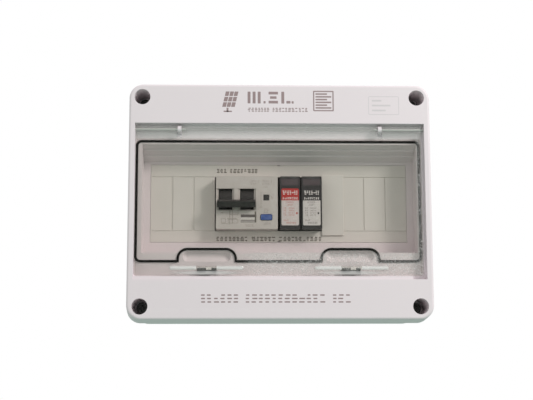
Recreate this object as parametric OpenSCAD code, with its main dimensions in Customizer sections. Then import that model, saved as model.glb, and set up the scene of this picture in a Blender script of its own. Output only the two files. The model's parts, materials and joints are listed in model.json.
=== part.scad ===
// Wall-mounted distribution box with a smoked front window: a residual-current
// breaker and a two-cartridge surge arrester on one mounting rail.
// X is to the right, Z is up, the front faces -Y, and Y = 0 is the wall face.

/* [Enclosure] */
// Width of the cover at its rear edge
cover_w = 254; // [250:1:262]
// Height of the cover at its rear edge
cover_h = 197; // [194:1:204]
// Overall depth, wall face to front face
box_d = 110; // [108:1:118]
// Depth of the front cover
cover_d = 36; // [35:0.5:38]
// Width of the rear box
base_w = 249; // [247:0.5:250]
// Height of the rear box
base_h = 192; // [190:0.5:193]
// Wall thickness of the rear box
base_wall = 3; // [2.5:0.1:3.2]
// Wall thickness of the cover
cover_wall = 2.5; // [2:0.1:2.8]
// Draft of the cover's sides at the front, each side across
cover_draft_x = 2.5; // [2.2:0.1:2.6]
// Draft of the cover's top and bottom at the front, each
cover_draft_z = 1.3; // [1.2:0.1:1.5]
// Radius of the cover's front edge
edge_r = 2; // [1.6:0.1:2.2]

/* [Window] */
// Width of the recess that holds the window door
recess_w = 239; // [238:0.5:240]
// Top of the recess above the centre
recess_top = 64.5; // [64:0.1:65]
// Bottom of the deep recess below the centre
recess_bottom = 62; // [61.8:0.1:62.4]
// Depth of the recess
recess_d = 10; // [10:0.1:10.5]
// Thickness of the window door
door_t = 2.8; // [2.4:0.1:2.8]
// Width of the sealing cord
seal_w = 2; // [1.8:0.1:2.2]

/* [Modules] */
// Width of one rail module
module_w = 18; // [18:0.5:18]
// Number of modules across the panel
module_n = 12; // [12:1:12]
// Height of the rail centre above the box centre
rail_z = 1; // [0.5:0.1:1.5]
// Width of the mounting rail
rail_w = 35; // [35:1:35]
// Depth of the device noses behind the front face
nose_depth = 18; // [17:0.5:19]

/* [Fixings] */
// Half the spacing of the cover screws across
screw_x = 113.7; // [113:0.1:114]
// Half the spacing of the cover screws upwards
screw_z = 86.5; // [86:0.1:87]
// Bore of the screw wells in the cover
well_d = 13; // [12:0.1:13]
// Spacing of the wall fixing holes across
wall_hole_x = 190; // [180:1:196]
// Spacing of the wall fixing holes upwards
wall_hole_z = 150; // [140:1:156]
// Diameter of the wall fixing holes
wall_hole_d = 5.5; // [4.5:0.1:6]

/* [Hidden] */
$fn = 48;
eps = 0.01;
front_y = -box_d;
joint_y = front_y + cover_d;          // rear edge of the cover
base_front_y = joint_y + 0.3;         // front edge of the rear box
ledge_y = front_y + recess_d;         // floor of the window recess
panel_y = front_y + 30;               // face of the tub floor
nose_y = front_y + nose_depth;        // face of the device noses
well_floor_y = front_y + 33.5;
head_t = 3;                           // cover screw head
rail_front_y = -25;                   // front of the rail flanges
rail_depth = 7.5;
rail_len = 216;
panel_w = module_n * module_w;
panel_h = 65.8;
panel_z = 1.8;
panel_t = 2.4;
slot_z = 1.4;                         // centre of the module slot
slot_h = 46;
slot_x0 = -3 * module_w;              // open modules in the panel
slot_x1 = 3 * module_w;
tub_x = 114;                          // half width of the tub
tub_top = 37.4;
tub_bottom = -39.9;
tub_rim_bottom = -42;
tub_rim_top = 49;
// Steps of the tub's top wall, front to back: where each stands and how high its foremost edge is
tub_step_y = [-93.3, -87.2];
tub_step_z = [45.6, 41.9];
door_cx = -1.1;                       // the door hangs a little to the left in its recess
door_x = 117.9;                       // half width of the door
door_bottom = -61.5;
hinge_y = front_y + 4.5;
hinge_z = 60;
barrel_r = 3;
pin_r = 1.25;
lug_x = 83;                           // hinge lugs of the cover
lug_t = 3;
seal_x = 117.2;                       // centre line of the sealing cord, about door_cx
seal_top = 51;
seal_bottom = -49.05;
arch_x = 59;                          // finger scoops and catches, about door_cx
arch_w = 47.5;
arch_top = -39.05;
shelf_w = arch_w + 4.2;
seal_front_y = ledge_y - 1.2;
door_front_y = front_y + 1.5;
door_back_y = door_front_y + door_t;
groove_out = 2;                       // rear box rim: lip outside the groove
groove_w = 3;
groove_floor_y = base_front_y + 4.7;
tongue_y = groove_floor_y - 2;        // the gasket is squeezed to 2 mm
case_back_y = -21;
shoulder_y = rail_front_y - 44;
case_half_h = 41;
nose_half_h = 22.3;
case_wall = 1.5;
breaker_x0 = -3 * module_w;           // three modules wide
breaker_x1 = 0;
arrester_x0 = 0;                      // two modules wide
arrester_x1 = 2 * module_w;
front_x0 = -52.9;                     // breaker nose
front_x1 = -1.4;
pole_x = [-2.5 * module_w, -1.5 * module_w];
plug_x = [0.5 * module_w, 1.5 * module_w];
lever_y = front_y + 29;               // lever pivot
lever_z = 5;
drum_r = 10.5;
drum_w = 11;
lever_rest = -20;                     // handles point down when off
terminal_y = -47;
terminal_z = 33;                      // above and below the rail centre
plug_w = 17;
plug_back_y = -54;
plug_half_h = 22.1;
earth_z = -70;
earth_x = 18;                         // arrester's earth terminal
earth_bar_y = -26;
arrester_terminals = [[plug_x[0], 1], [plug_x[1], 1], [earth_x, -1]];
button_x = -10.9;
button_z = -11.5;
wire_r = 1.75;

// ---- Shared shapes ----

// An XZ outline pushed along Y from y0 to y1
module along_y(y0, y1) {
    translate([0, y1, 0]) rotate([90, 0, 0]) linear_extrude(y1 - y0) children();
}
// A YZ outline pushed along X from x0 to x1
module along_x(x0, x1) {
    translate([x0, 0, 0]) rotate([90, 0, 90]) linear_extrude(x1 - x0) children();
}
module rod_x(x0, x1, r) {
    translate([x0, 0, 0]) rotate([0, 90, 0]) cylinder(h = x1 - x0, r = r);
}
module rod_y(y0, y1, r) {
    translate([0, y1, 0]) rotate([90, 0, 0]) cylinder(h = y1 - y0, r = r);
}
// Box given by its lowest and highest corners
module block(lo, hi) {
    translate(lo) cube(hi - lo);
}
// Rectangle with round corners, from lo to hi
module round_rect(lo, hi, r) {
    translate([lo[0] + r, lo[1]]) square([hi[0] - lo[0] - 2 * r, hi[1] - lo[1]]);
    translate([lo[0], lo[1] + r]) square([hi[0] - lo[0], hi[1] - lo[1] - 2 * r]);
    for (x = [lo[0] + r, hi[0] - r], y = [lo[1] + r, hi[1] - r]) translate([x, y]) circle(r);
}
module centred_rect(w, h, r) {
    round_rect([-w / 2, -h / 2], [w / 2, h / 2], r);
}
module at_corners(x, z) {
    for (sx = [-1, 1], sz = [-1, 1]) translate([sx * x, 0, sz * z]) children();
}
// Cross recess in a screw head whose face is at y
module cross_cut(y, size) {
    for (a = [0, 90]) rotate([0, a, 0]) block([-size / 2, y - 1, -0.6], [size / 2, y + 1.5, 0.6]);
}

// ---- Enclosure ----

// Closed area inside the sealing cord, grown by o, with the two arches cut out
module seal_area(o) {
    translate([door_cx, 0]) difference() {
        round_rect([-seal_x - o, seal_bottom - o], [seal_x + o, seal_top + o], 4 + o);
        for (s = [-1, 1])
            round_rect([s * arch_x - arch_w / 2 + o, -70], [s * arch_x + arch_w / 2 - o, arch_top - o], 8 - o);
    }
}
module seal_ring(half) {
    difference() {
        seal_area(half);
        seal_area(-half);
    }
}
// Solid form of the cover, inset by t on every side: drafted, with a rounded front edge
module cover_form(t) {
    step = t > 0 ? 90 : 15;
    hull() {
        along_y(joint_y - eps, joint_y) centred_rect(cover_w - 2 * t, cover_h - 2 * t, 11.5 - t / 2);
        for (a = [0:step:90]) {
            inset = t + edge_r * (1 - cos(a));
            y = front_y + t + edge_r * (1 - sin(a));
            along_y(y, y + eps) centred_rect(cover_w - 2 * (cover_draft_x + inset),
                                             cover_h - 2 * (cover_draft_z + inset), 11.5 - inset / 2);
        }
    }
}
// Side section of the tub, from the recess floor down to the panel; a drop makes steps in its top wall
module tub_section(wall, drop = 0) {
    steps = [for (k = [0:len(tub_step_y) - 1], d = [0, drop]) [tub_step_y[k], tub_step_z[k] + wall - d]];
    polygon(concat([[ledge_y - 1, tub_rim_top + wall]], steps,
                   [[panel_y + 2 * wall, tub_top + wall], [panel_y + 2 * wall, tub_bottom - wall],
                    [ledge_y - 1, tub_rim_bottom - wall]]));
}
module front_cover() {
    color([0.87, 0.85, 0.86]) difference() {
        union() {
            difference() {
                cover_form(0);
                intersection() {
                    cover_form(cover_wall);
                    block([-200, front_y, -200], [200, joint_y + 1, 200]);
                }
                along_y(joint_y - 1, joint_y + 1) centred_rect(base_w - 4, base_h - 4, 9);
            }
            // Rear flange and the tongue that presses on the gasket
            difference() {
                union() {
                    along_y(joint_y - 3, joint_y) centred_rect(cover_w - 2, cover_h - 2, 11);
                    along_y(joint_y - eps, tongue_y)
                        centred_rect(base_w - 2 * groove_out - 0.6, base_h - 2 * groove_out - 0.6, 9.4);
                }
                along_y(joint_y - 4, tongue_y + 1)
                    centred_rect(base_w - 2 * groove_out - 5.4, base_h - 2 * groove_out - 5.4, 7);
            }
            // Floor and walls of the window recess
            block([-recess_w / 2 - 2, front_y + 0.5, -67.2], [recess_w / 2 + 2, ledge_y + 2.5, recess_top + 2.5]);
            // Tub around the devices
            along_x(-tub_x - 2.2, tub_x + 2.2) tub_section(2.2);
            // Backs of the finger scoops
            for (s = [-1, 1]) translate([door_cx + s * arch_x, 0, 0])
                block([-21.5, ledge_y, -53], [21.5, ledge_y + 6, tub_bottom]);
            at_corners(screw_x, screw_z) rod_y(front_y + 0.5, joint_y, well_d / 2 + 2);
        }
        // Recess, with a shallow step along its bottom edge and a deep right corner
        block([-recess_w / 2, front_y - 1, -recess_bottom], [recess_w / 2, ledge_y, recess_top]);
        block([-recess_w / 2, front_y - 1, -64.6], [recess_w / 2, front_y + 1.6, -recess_bottom + eps]);
        block([108, front_y - 1, -64.6], [recess_w / 2, ledge_y, -recess_bottom + eps]);
        difference() {
            along_x(-tub_x, tub_x) tub_section(0, 1.2);
            // Shelves that carry the seal over the two arches
            for (s = [-1, 1]) along_y(ledge_y, ledge_y + 9) translate([door_cx + s * arch_x, 0])
                round_rect([-shelf_w / 2, -70], [shelf_w / 2, arch_top + 2.1], 10);
        }
        along_y(panel_y - 1, panel_y + panel_t)
            translate([0, panel_z]) square([panel_w + 0.4, panel_h + 0.4], center = true);
        along_y(panel_y, panel_y + 6)
            translate([0, panel_z]) square([panel_w - 5, panel_h - 5], center = true);
        along_y(ledge_y - 1, ledge_y + 1.4) seal_ring(seal_w / 2);
        // Dished finger scoops, and a pocket for each catch
        for (s = [-1, 1]) translate([door_cx + s * arch_x, 0, 0]) {
            translate([0, ledge_y - 1.3, -45.1]) {
                rod_x(-15.5, 15.5, 4.5);
                for (e = [-1, 1]) translate([e * 15.5, 0, 0]) sphere(4.5);
            }
            block([-8.2, ledge_y - 1, -60.5], [8.2, ledge_y + 1.8, -54.4]);
        }
        at_corners(screw_x, screw_z) {
            rod_y(front_y - 1, well_floor_y, well_d / 2);
            rod_y(front_y, joint_y + 1, 2.5);
        }
        translate([0, hinge_y, hinge_z]) rod_x(-recess_w / 2 - 3.2, recess_w / 2 + 3.2, pin_r);
    }
    color([0.87, 0.85, 0.86]) difference() {
        for (s = [-1, 1]) translate([s * lug_x, 0, 0]) {
            translate([0, hinge_y, hinge_z]) rod_x(-lug_t / 2, lug_t / 2, barrel_r);
            block([-lug_t / 2, hinge_y, hinge_z - barrel_r], [lug_t / 2, ledge_y, hinge_z + barrel_r]);
        }
        translate([0, hinge_y, hinge_z]) rod_x(-100, 100, pin_r);
    }
}
module rear_box() {
    color([0.85, 0.84, 0.84]) difference() {
        union() {
            difference() {
                along_y(base_front_y, 0) centred_rect(base_w, base_h, 10);
                along_y(base_front_y - 1, -base_wall)
                    centred_rect(base_w - 2 * base_wall, base_h - 2 * base_wall, 7.5);
            }
            // Thicker rim that carries the gasket groove
            difference() {
                along_y(base_front_y, base_front_y + 7) centred_rect(base_w - 1, base_h - 1, 9.5);
                along_y(base_front_y - 1, base_front_y + 8)
                    centred_rect(base_w - 14, base_h - 14, 5);
            }
            at_corners(screw_x, screw_z) rod_y(base_front_y, -1, 7.5);
            for (x = [-80, 80]) translate([x, 0, rail_z]) rod_y(rail_front_y + rail_depth, -1, 6);
            for (x = [-45, 45]) translate([x, 0, earth_z]) rod_y(-12, -1, 4.5);
            at_corners(wall_hole_x / 2, wall_hole_z / 2) rod_y(-6, -1, 7);
        }
        along_y(base_front_y - 1, groove_floor_y) difference() {
            centred_rect(base_w - 2 * groove_out, base_h - 2 * groove_out, 9.7);
            centred_rect(base_w - 2 * (groove_out + groove_w), base_h - 2 * (groove_out + groove_w), 6.7);
        }
        at_corners(screw_x, screw_z) rod_y(base_front_y - 1, -48, 2.05);
        for (x = [-80, 80]) translate([x, 0, rail_z]) rod_y(-20, -6, 1.6);
        for (x = [-45, 45]) translate([x, 0, earth_z]) rod_y(-14, -4, 1.3);
        at_corners(wall_hole_x / 2, wall_hole_z / 2) rod_y(-7, 1, wall_hole_d / 2);
        // Knock-outs for cable entries: ring grooves in the top, bottom and side walls
        for (s = [-1, 1]) {
            for (k = [-2:2]) translate([k * 44, -38, s * base_h / 2]) ring_groove(k % 2 == 0 ? 12.5 : 10);
            translate([s * base_w / 2, -38, 0]) rotate([0, 90, 0]) ring_groove(12.5);
        }
    }
}
// Ring cut 1 mm into a wall whose face is at the origin, about Z
module ring_groove(r) {
    difference() {
        translate([0, 0, -1]) cylinder(h = 2, r = r);
        translate([0, 0, -2]) cylinder(h = 4, r = r - 0.8);
    }
}
module cover_gasket() {
    color([0.12, 0.12, 0.12]) along_y(tongue_y, groove_floor_y) difference() {
        centred_rect(base_w - 2 * groove_out, base_h - 2 * groove_out, 9.7);
        centred_rect(base_w - 2 * (groove_out + groove_w), base_h - 2 * (groove_out + groove_w), 6.7);
    }
}
module cover_screws() {
    color([0.7, 0.7, 0.68]) at_corners(screw_x, screw_z) difference() {
        union() {
            rod_y(well_floor_y - head_t, well_floor_y, 4.8);
            rod_y(well_floor_y - 1, -56, 2);
        }
        cross_cut(well_floor_y - head_t, 5);
    }
}
// Window door, hung on a barrel along its top edge
module window_door() {
    color([0.35, 0.36, 0.33, 0.45]) difference() {
        union() {
            translate([door_cx, 0, 0]) {
                along_y(door_front_y, door_back_y) round_rect([-door_x, door_bottom], [door_x, hinge_z], 2);
                along_y(door_front_y, hinge_y) round_rect([-door_x, 40], [door_x, hinge_z + 0.1], 0.05);
                translate([0, hinge_y, hinge_z]) rod_x(-door_x, door_x, barrel_r);
                // Stiffening rim down the sides and along the bottom
                along_y(door_back_y, ledge_y - 1.6) difference() {
                    round_rect([-door_x, door_bottom], [door_x, hinge_z - 2], 2);
                    round_rect([-door_x + 1.1, door_bottom + 1.6], [door_x - 1.1, hinge_z], 1);
                }
                // Pull ridges over the catches
                for (s = [-1, 1]) translate([s * arch_x, 0, 0])
                    along_y(door_front_y - 0.9, door_front_y) round_rect([-30.2, -56.6], [30.2, -53.9], 1.3);
            }
            // Rib that presses on the sealing cord
            along_y(door_back_y, seal_front_y - 0.3) seal_ring(0.4);
        }
        for (s = [-1, 1]) translate([s * lug_x, 0, 0])
            block([-2.1, front_y - 1, 53], [2.1, ledge_y + 5, 66]);
        translate([0, hinge_y, hinge_z]) rod_x(-door_x - 3, door_x + 1, pin_r + 0.05);
    }
}
// Snap catches fixed to the back of the door, each with a hook and a release tab
module door_catches() {
    color([0.2, 0.19, 0.19]) for (s = [-1, 1]) translate([door_cx + s * arch_x, 0, 0]) difference() {
        union() {
            block([-7.6, door_back_y, -59.2], [7.6, door_back_y + 1.2, -55]);
            block([-7.6, door_back_y + 1, -57.4], [7.6, ledge_y + 1.5, -55.6]);
            block([-7.6, ledge_y + 0.3, -58.2], [7.6, ledge_y + 1.5, -55.6]);
        }
        block([-0.9, door_back_y - 1, -60], [3.6, door_back_y + 0.5, -55.9]);
    }
}
module door_seal() {
    color([0.1, 0.1, 0.09]) along_y(seal_front_y, ledge_y + 1.4) seal_ring(seal_w / 2);
}
module hinge_pins() {
    color([0.75, 0.75, 0.74]) translate([0, hinge_y, hinge_z]) for (s = [0, 1])
        mirror([s, 0, 0]) rod_x(78, recess_w / 2 + 3.2, pin_r);
}
// Panel with the module slot, scored blanks at both ends and a screwdriver notch at mid-edge
module module_panel() {
    color([0.82, 0.81, 0.78]) difference() {
        along_y(panel_y, panel_y + panel_t) difference() {
            translate([0, panel_z]) square([panel_w, panel_h], center = true);
            translate([slot_x0, slot_z - slot_h / 2]) square([slot_x1 - slot_x0, slot_h]);
            for (s = [-1, 1]) translate([0, panel_z + s * panel_h / 2]) circle(1.2);
        }
        for (k = [-5, -4]) translate([k * module_w, 0, slot_z])
            block([-0.8, panel_y - 1, -slot_h / 2], [0.8, panel_y + 0.6, slot_h / 2]);
        for (k = [4, 5]) translate([k * module_w, 0, slot_z])
            block([-0.35, panel_y - 1, -slot_h / 2], [0.35, panel_y + 0.6, slot_h / 2]);
        for (s = [-1, 1], e = [-1, 1]) translate([s * 4.5 * module_w, 0, slot_z + e * slot_h / 2])
            block([-1.5 * module_w + 1, panel_y - 1, -0.25], [1.5 * module_w - 0.4, panel_y + 0.5, 0.25]);
    }
}
// Snap-in plate that closes the one spare module
module filler_plate() {
    color([0.82, 0.81, 0.78]) {
        along_y(panel_y - 1.6, panel_y)
            round_rect([slot_x1 - module_w + 0.2, -25.4], [slot_x1 + 0.6, 26.2], 0.8);
        for (e = [-1, 1]) translate([slot_x1 - module_w / 2, 0, slot_z + e * (slot_h / 2 - 1.1)])
            block([-6, panel_y, -1], [6, panel_y + panel_t + 1.4, 1]);
    }
}

// ---- Rail, earth bar and wires ----

module mounting_rail() {
    w = rail_w / 2;
    y1 = rail_front_y + rail_depth;
    color([0.72, 0.73, 0.74]) difference() {
        translate([0, 0, rail_z]) along_x(-rail_len / 2, rail_len / 2) {
            for (s = [-1, 1]) scale([1, s]) {
                translate([rail_front_y, 12.5]) square([1, w - 12.5]);
                translate([rail_front_y, 12.5]) square([rail_depth, 1]);
            }
            translate([y1 - 1, -13.5]) square([1, 27]);
        }
        for (x = [-80, 80]) translate([x, 0, rail_z]) rod_y(y1 - 2, y1 + 1, 2.6);
    }
}
module rail_screws() {
    y1 = rail_front_y + rail_depth - 1;
    color([0.7, 0.7, 0.68]) for (x = [-80, 80]) translate([x, 0, rail_z]) difference() {
        union() {
            rod_y(y1 - 2.4, y1, 4.2);
            rod_y(y1 - 1, -8, 1.55);
        }
        cross_cut(y1 - 2.4, 4);
    }
}
module earth_bar_holder() {
    color([0.2, 0.5, 0.25]) difference() {
        union() {
            block([-52, -15, earth_z - 6], [52, -12, earth_z + 6]);
            for (x = [-38, 38]) block([x - 3, -22, earth_z - 5], [x + 3, -15, earth_z + 5]);
        }
        for (x = [-45, 45]) translate([x, 0, earth_z]) rod_y(-16, -11, 1.7);
    }
}
module earth_bar() {
    color([0.8, 0.65, 0.3]) difference() {
        block([-40, -30, earth_z - 4], [40, -22, earth_z + 4]);
        for (k = [-4:4]) translate([k * 9, 0, earth_z]) {
            translate([0, earth_bar_y, 0]) cylinder(h = 20, r = 2.2, center = true);
            rod_y(-31, earth_bar_y, 1.6);
        }
    }
}
module earth_bar_screws() {
    color([0.7, 0.7, 0.68]) {
        for (k = [-4:4]) translate([k * 9, 0, earth_z]) difference() {
            union() {
                rod_y(-33, -30, 2.2);
                rod_y(-31, -28.2, 1.55);
            }
            block([-3, -34, -0.4], [3, -32, 0.4]);
        }
        for (x = [-45, 45]) translate([x, 0, earth_z]) {
            rod_y(-17, -15, 3);
            rod_y(-16, -6, 1.25);
        }
    }
}
// Wire in one upright plane: up from x0, across at top_z and down at x1
module wire_bridge(x0, x1, y, low_z, top_z, bend) {
    translate([0, y, 0]) {
        for (x = [x0, x1]) translate([x, 0, low_z]) cylinder(h = top_z - bend - low_z, r = wire_r);
        translate([0, 0, top_z]) rod_x(x0 + bend, x1 - bend, wire_r);
        for (k = [[x0 + bend, 90], [x1 - bend, 0]]) translate([k[0], 0, top_z - bend])
            rotate([90, 0, 0]) rotate_extrude(angle = 90, start = k[1]) translate([bend, 0]) circle(wire_r);
    }
}
module line_wire() {
    color([0.45, 0.28, 0.16])
        wire_bridge(pole_x[0], plug_x[0], terminal_y - 2, rail_z + terminal_z - 3, 72, 8);
}
module neutral_wire() {
    color([0.25, 0.4, 0.75])
        wire_bridge(pole_x[1], plug_x[1], terminal_y + 2, rail_z + terminal_z - 3, 62, 8);
}
// Down from the arrester, back in two bends, and down into the earth bar
module earth_wire() {
    bend = (earth_bar_y - terminal_y) / 2;
    mid_y = terminal_y + bend;
    color([0.45, 0.65, 0.2]) translate([earth_x, 0, 0]) {
        translate([0, terminal_y, -42]) cylinder(h = rail_z - terminal_z + 3 + 42, r = wire_r);
        for (k = [[-42, 180], [-42 - 2 * bend, 0]]) translate([0, mid_y, k[0]]) rotate([90, 0, 90])
            rotate_extrude(angle = 90, start = k[1]) translate([bend, 0]) circle(wire_r);
        translate([0, earth_bar_y, earth_z - 3])
            cylinder(h = -42 - 2 * bend - (earth_z - 3), r = wire_r);
    }
}

// ---- Residual-current breaker ----

// Side section of a rail device without its nose
module case_section(t) {
    translate([shoulder_y + t, rail_z - case_half_h + t])
        square([case_back_y - shoulder_y - (t > 0 ? 5.5 + t : 0), 2 * (case_half_h - t)]);
}
// What the rail, its clip and the terminals take out of a device case
module rail_cut(x0, x1) {
    translate([0, 0, rail_z]) {
        along_x(x0 - 1, x1 + 1) {
            translate([rail_front_y, -18.2]) square([6, 33.7]);
            translate([rail_front_y, 0]) square([1.3, 17.8]);
        }
        translate([(x0 + x1) / 2, 0, 0]) block([-4.4, -24.2, -case_half_h - 1], [4.4, case_back_y + 1, -10]);
    }
}
module terminal_cuts(xs, sides) {
    for (x = xs, s = sides) translate([x, 0, rail_z]) {
        translate([0, terminal_y, s * (case_half_h - 2)]) cylinder(h = 8, r = 4.2, center = true);
        translate([0, 0, s * terminal_z]) rod_y(shoulder_y - 1, shoulder_y + 3, 3);
    }
}
module breaker_base() {
    cells = [[-53, -36.6], [-35.4, -18.6], [-17.4, -1]];
    color([0.8, 0.79, 0.77]) difference() {
        along_x(breaker_x0 + 0.2, breaker_x1 - 0.2) case_section(0);
        for (c = cells) along_x(c[0], c[1]) case_section(case_wall);
        rail_cut(breaker_x0, breaker_x1);
        terminal_cuts(pole_x, [-1, 1]);
        along_y(shoulder_y - 1, shoulder_y + 3)
            round_rect([front_x0 + 2, rail_z - nose_half_h + 2], [front_x1 - 2, rail_z + nose_half_h - 2], 1);
        for (x = [-36, -18], s = [-1, 1]) translate([x, 0, rail_z + s * 30])
            rod_y(shoulder_y - 1, shoulder_y + 8, 0.5);
    }
}
module breaker_front() {
    lo = rail_z - nose_half_h;
    hi = rail_z + nose_half_h;
    color([0.82, 0.81, 0.79]) difference() {
        union() {
            difference() {
                along_y(nose_y, shoulder_y) round_rect([front_x0, lo], [front_x1, hi], 0.6);
                along_y(nose_y + case_wall, shoulder_y + 1)
                    round_rect([front_x0 + case_wall, lo + case_wall], [front_x1 - case_wall, hi - case_wall], 0.4);
            }
            block([front_x0 + 0.1, nose_y + 0.5, lever_z - 12.5], [-18, shoulder_y, lever_z + 12.5]);
            // Seat of the test button's spring
            block([-18, nose_y + 12, button_z - 5], [front_x1 - 0.5, nose_y + 13.5, button_z + 5]);
        }
        // Drum pockets with a shallow step round each lever
        for (x = pole_x) translate([x, 0, 0]) {
            translate([0, lever_y, lever_z]) rod_x(-5.8, 5.8, drum_r + 0.5);
            block([-5.8, nose_y - 1, -5.6], [5.8, lever_y - 6, 12.6]);
            block([-7.3, nose_y - 1, -5.6], [7.3, nose_y + 1.1, 12.6]);
        }
        translate([0, lever_y, lever_z]) rod_x(front_x0 - 1, -17, 1.2);
        block([-32.2, nose_y - 1, -16.1], [-19.3, nose_y + 0.8, -6.3]);
        block([button_x - 2.5, nose_y - 1, 2.6], [button_x + 2.5, nose_y + 3, 7.6]);
        along_y(nose_y - 1, nose_y + 3) translate([button_x, button_z])
            round_rect([-5, -2.7], [5, 2.7], 1.2);
    }
}
module breaker_rivets() {
    color([0.7, 0.7, 0.68]) for (x = [-36, -18], s = [-1, 1]) translate([x, 0, rail_z + s * 30]) {
        rod_y(shoulder_y - 0.8, shoulder_y, 1.4);
        rod_y(shoulder_y - 0.4, shoulder_y + 8, 0.5);
    }
}
// Drum and handle of one breaker pole, in the off position
module lever(x) {
    color([0.23, 0.22, 0.21]) translate([x, lever_y, lever_z]) rotate([-lever_rest, 0, 0]) difference() {
        union() {
            rod_x(-drum_w / 2, drum_w / 2, drum_r);
            block([-drum_w / 2, -16.5, -2], [drum_w / 2, 0, 2]);
        }
        rod_x(-drum_w, drum_w, 1.25);
    }
}
module left_lever() { lever(pole_x[0]); }
module right_lever() { lever(pole_x[1]); }
// Cap that joins both handles
module lever_tie_bar() {
    color([0.23, 0.22, 0.21]) translate([0, lever_y, lever_z]) rotate([-lever_rest, 0, 0]) difference() {
        along_x(-51.9, -19.9) round_rect([-19.3, -2.9], [-13.2, 2.9], 1);
        for (x = pole_x) translate([x, 0, 0])
            block([-drum_w / 2, -16.5, -2], [drum_w / 2, 0, 2]);
    }
}
module lever_pin() {
    color([0.75, 0.75, 0.74]) translate([0, lever_y, lever_z]) rod_x(front_x0 + 0.1, -18.2, 1.2);
}
module marker_window() {
    color([0.9, 0.9, 0.9, 0.5]) block([-32.2, nose_y, -16.1], [-19.3, nose_y + 0.8, -6.3]);
}
module test_button() {
    color([0.24, 0.34, 0.6]) {
        along_y(nose_y - 0.9, nose_y + 3) translate([button_x, button_z])
            round_rect([-4.65, -2.35], [4.65, 2.35], 0.9);
        block([button_x - 6, nose_y + 2.2, button_z - 3.4], [button_x + 6, nose_y + 3.2, button_z + 3.4]);
    }
}
// Helical spring from y0 to y1 about the origin, as one swept tube
module coil_spring(y0, y1, r, wire, turns) {
    sides = 6;
    steps = turns * 14;
    points = [for (i = [0:steps], j = [0:sides - 1])
        let (a = 360 * turns * i / steps, b = 360 * j / sides, q = r + wire * cos(b))
        [q * cos(a), y0 + wire + (y1 - y0 - 2 * wire) * i / steps + wire * sin(b), q * sin(a)]];
    walls = [for (i = [0:steps - 1], j = [0:sides - 1])
        [i * sides + j, i * sides + (j + 1) % sides,
         (i + 1) * sides + (j + 1) % sides, (i + 1) * sides + j]];
    ends = [[for (j = [0:sides - 1]) sides - 1 - j], [for (j = [0:sides - 1]) steps * sides + j]];
    polyhedron(points, concat(walls, ends), convexity = 10);
}
module test_spring() {
    color([0.7, 0.7, 0.68]) translate([button_x, 0, button_z])
        coil_spring(nose_y + 3.2, nose_y + 12, 2, 0.25, 5);
}
module fault_indicator() {
    color([0.15, 0.14, 0.14]) block([button_x - 2.5, nose_y + 0.3, 2.6], [button_x + 2.5, nose_y + 5, 7.6]);
}
module clamps(xs, sides) {
    color([0.8, 0.65, 0.3]) for (x = xs, s = sides) translate([x, terminal_y, rail_z + s * terminal_z])
        difference() {
            block([-3.8, -4.6, -4.5], [3.8, 4.6, 4.5]);
            block([-2.8, -3.8, -6], [2.8, 3.8, 6]);
        }
}
module clamp_screws(xs, sides) {
    color([0.7, 0.7, 0.68]) for (x = xs, s = sides) translate([x, 0, rail_z + s * terminal_z])
        difference() {
            union() {
                rod_y(shoulder_y + 3.4, shoulder_y + 6, 2.8);
                rod_y(shoulder_y + 5, terminal_y - 4.6, 1.6);
            }
            cross_cut(shoulder_y + 3.4, 3.6);
        }
}
module breaker_clamps() { clamps(pole_x, [-1, 1]); }
module breaker_screws() { clamp_screws(pole_x, [-1, 1]); }
// Sliding foot that grips the lower flange of the rail
module rail_clip(x) {
    color([0.25, 0.25, 0.25]) translate([x, 0, rail_z]) difference() {
        union() {
            block([-4, -23.7, -44], [4, -21.3, -15.8]);
            block([-4, -25.4, -45.5], [4, -21.3, -case_half_h - 0.6]);
        }
        translate([0, 0, -34]) rod_y(-25, -20, 1.5);
    }
}
module breaker_rail_clip() { rail_clip((breaker_x0 + breaker_x1) / 2); }
module trip_coils() {
    color([0.72, 0.42, 0.25]) for (x = pole_x) translate([x, -54, rail_z + 12]) difference() {
        cylinder(h = 12, r = 5, center = true);
        cylinder(h = 14, r = 3, center = true);
    }
}
module arc_chutes() {
    color([0.6, 0.6, 0.6]) for (x = pole_x, k = [0:7])
        translate([x, -36, rail_z - 8 - 2 * k]) difference() {
            block([-6, -7, -0.4], [6, 6, 0.4]);
            block([-1.5, -8, -1], [1.5, -2, 1]);
        }
}
module contact_arms() {
    color([0.72, 0.42, 0.25]) for (x = pole_x) translate([x, 0, rail_z]) {
        block([-2, -64, -18], [2, -62, 8]);
        block([-2, -62, -18], [2, -58, -15]);
    }
}
module sensing_ring() {
    color([0.72, 0.42, 0.25]) translate([-0.5 * module_w, -40, rail_z - 6])
        rotate_extrude() translate([5.4, 0]) round_rect([-2, -4], [2, 4], 1);
}
module trip_board() {
    color([0.15, 0.4, 0.2]) {
        block([-16, -66, rail_z - 14], [-14.6, -50, rail_z + 26]);
        for (k = [0:2]) block([-14.6, -62, rail_z + 9 * k - 8], [-10, -55, rail_z + 9 * k - 3]);
    }
}

// ---- Surge arrester ----

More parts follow.
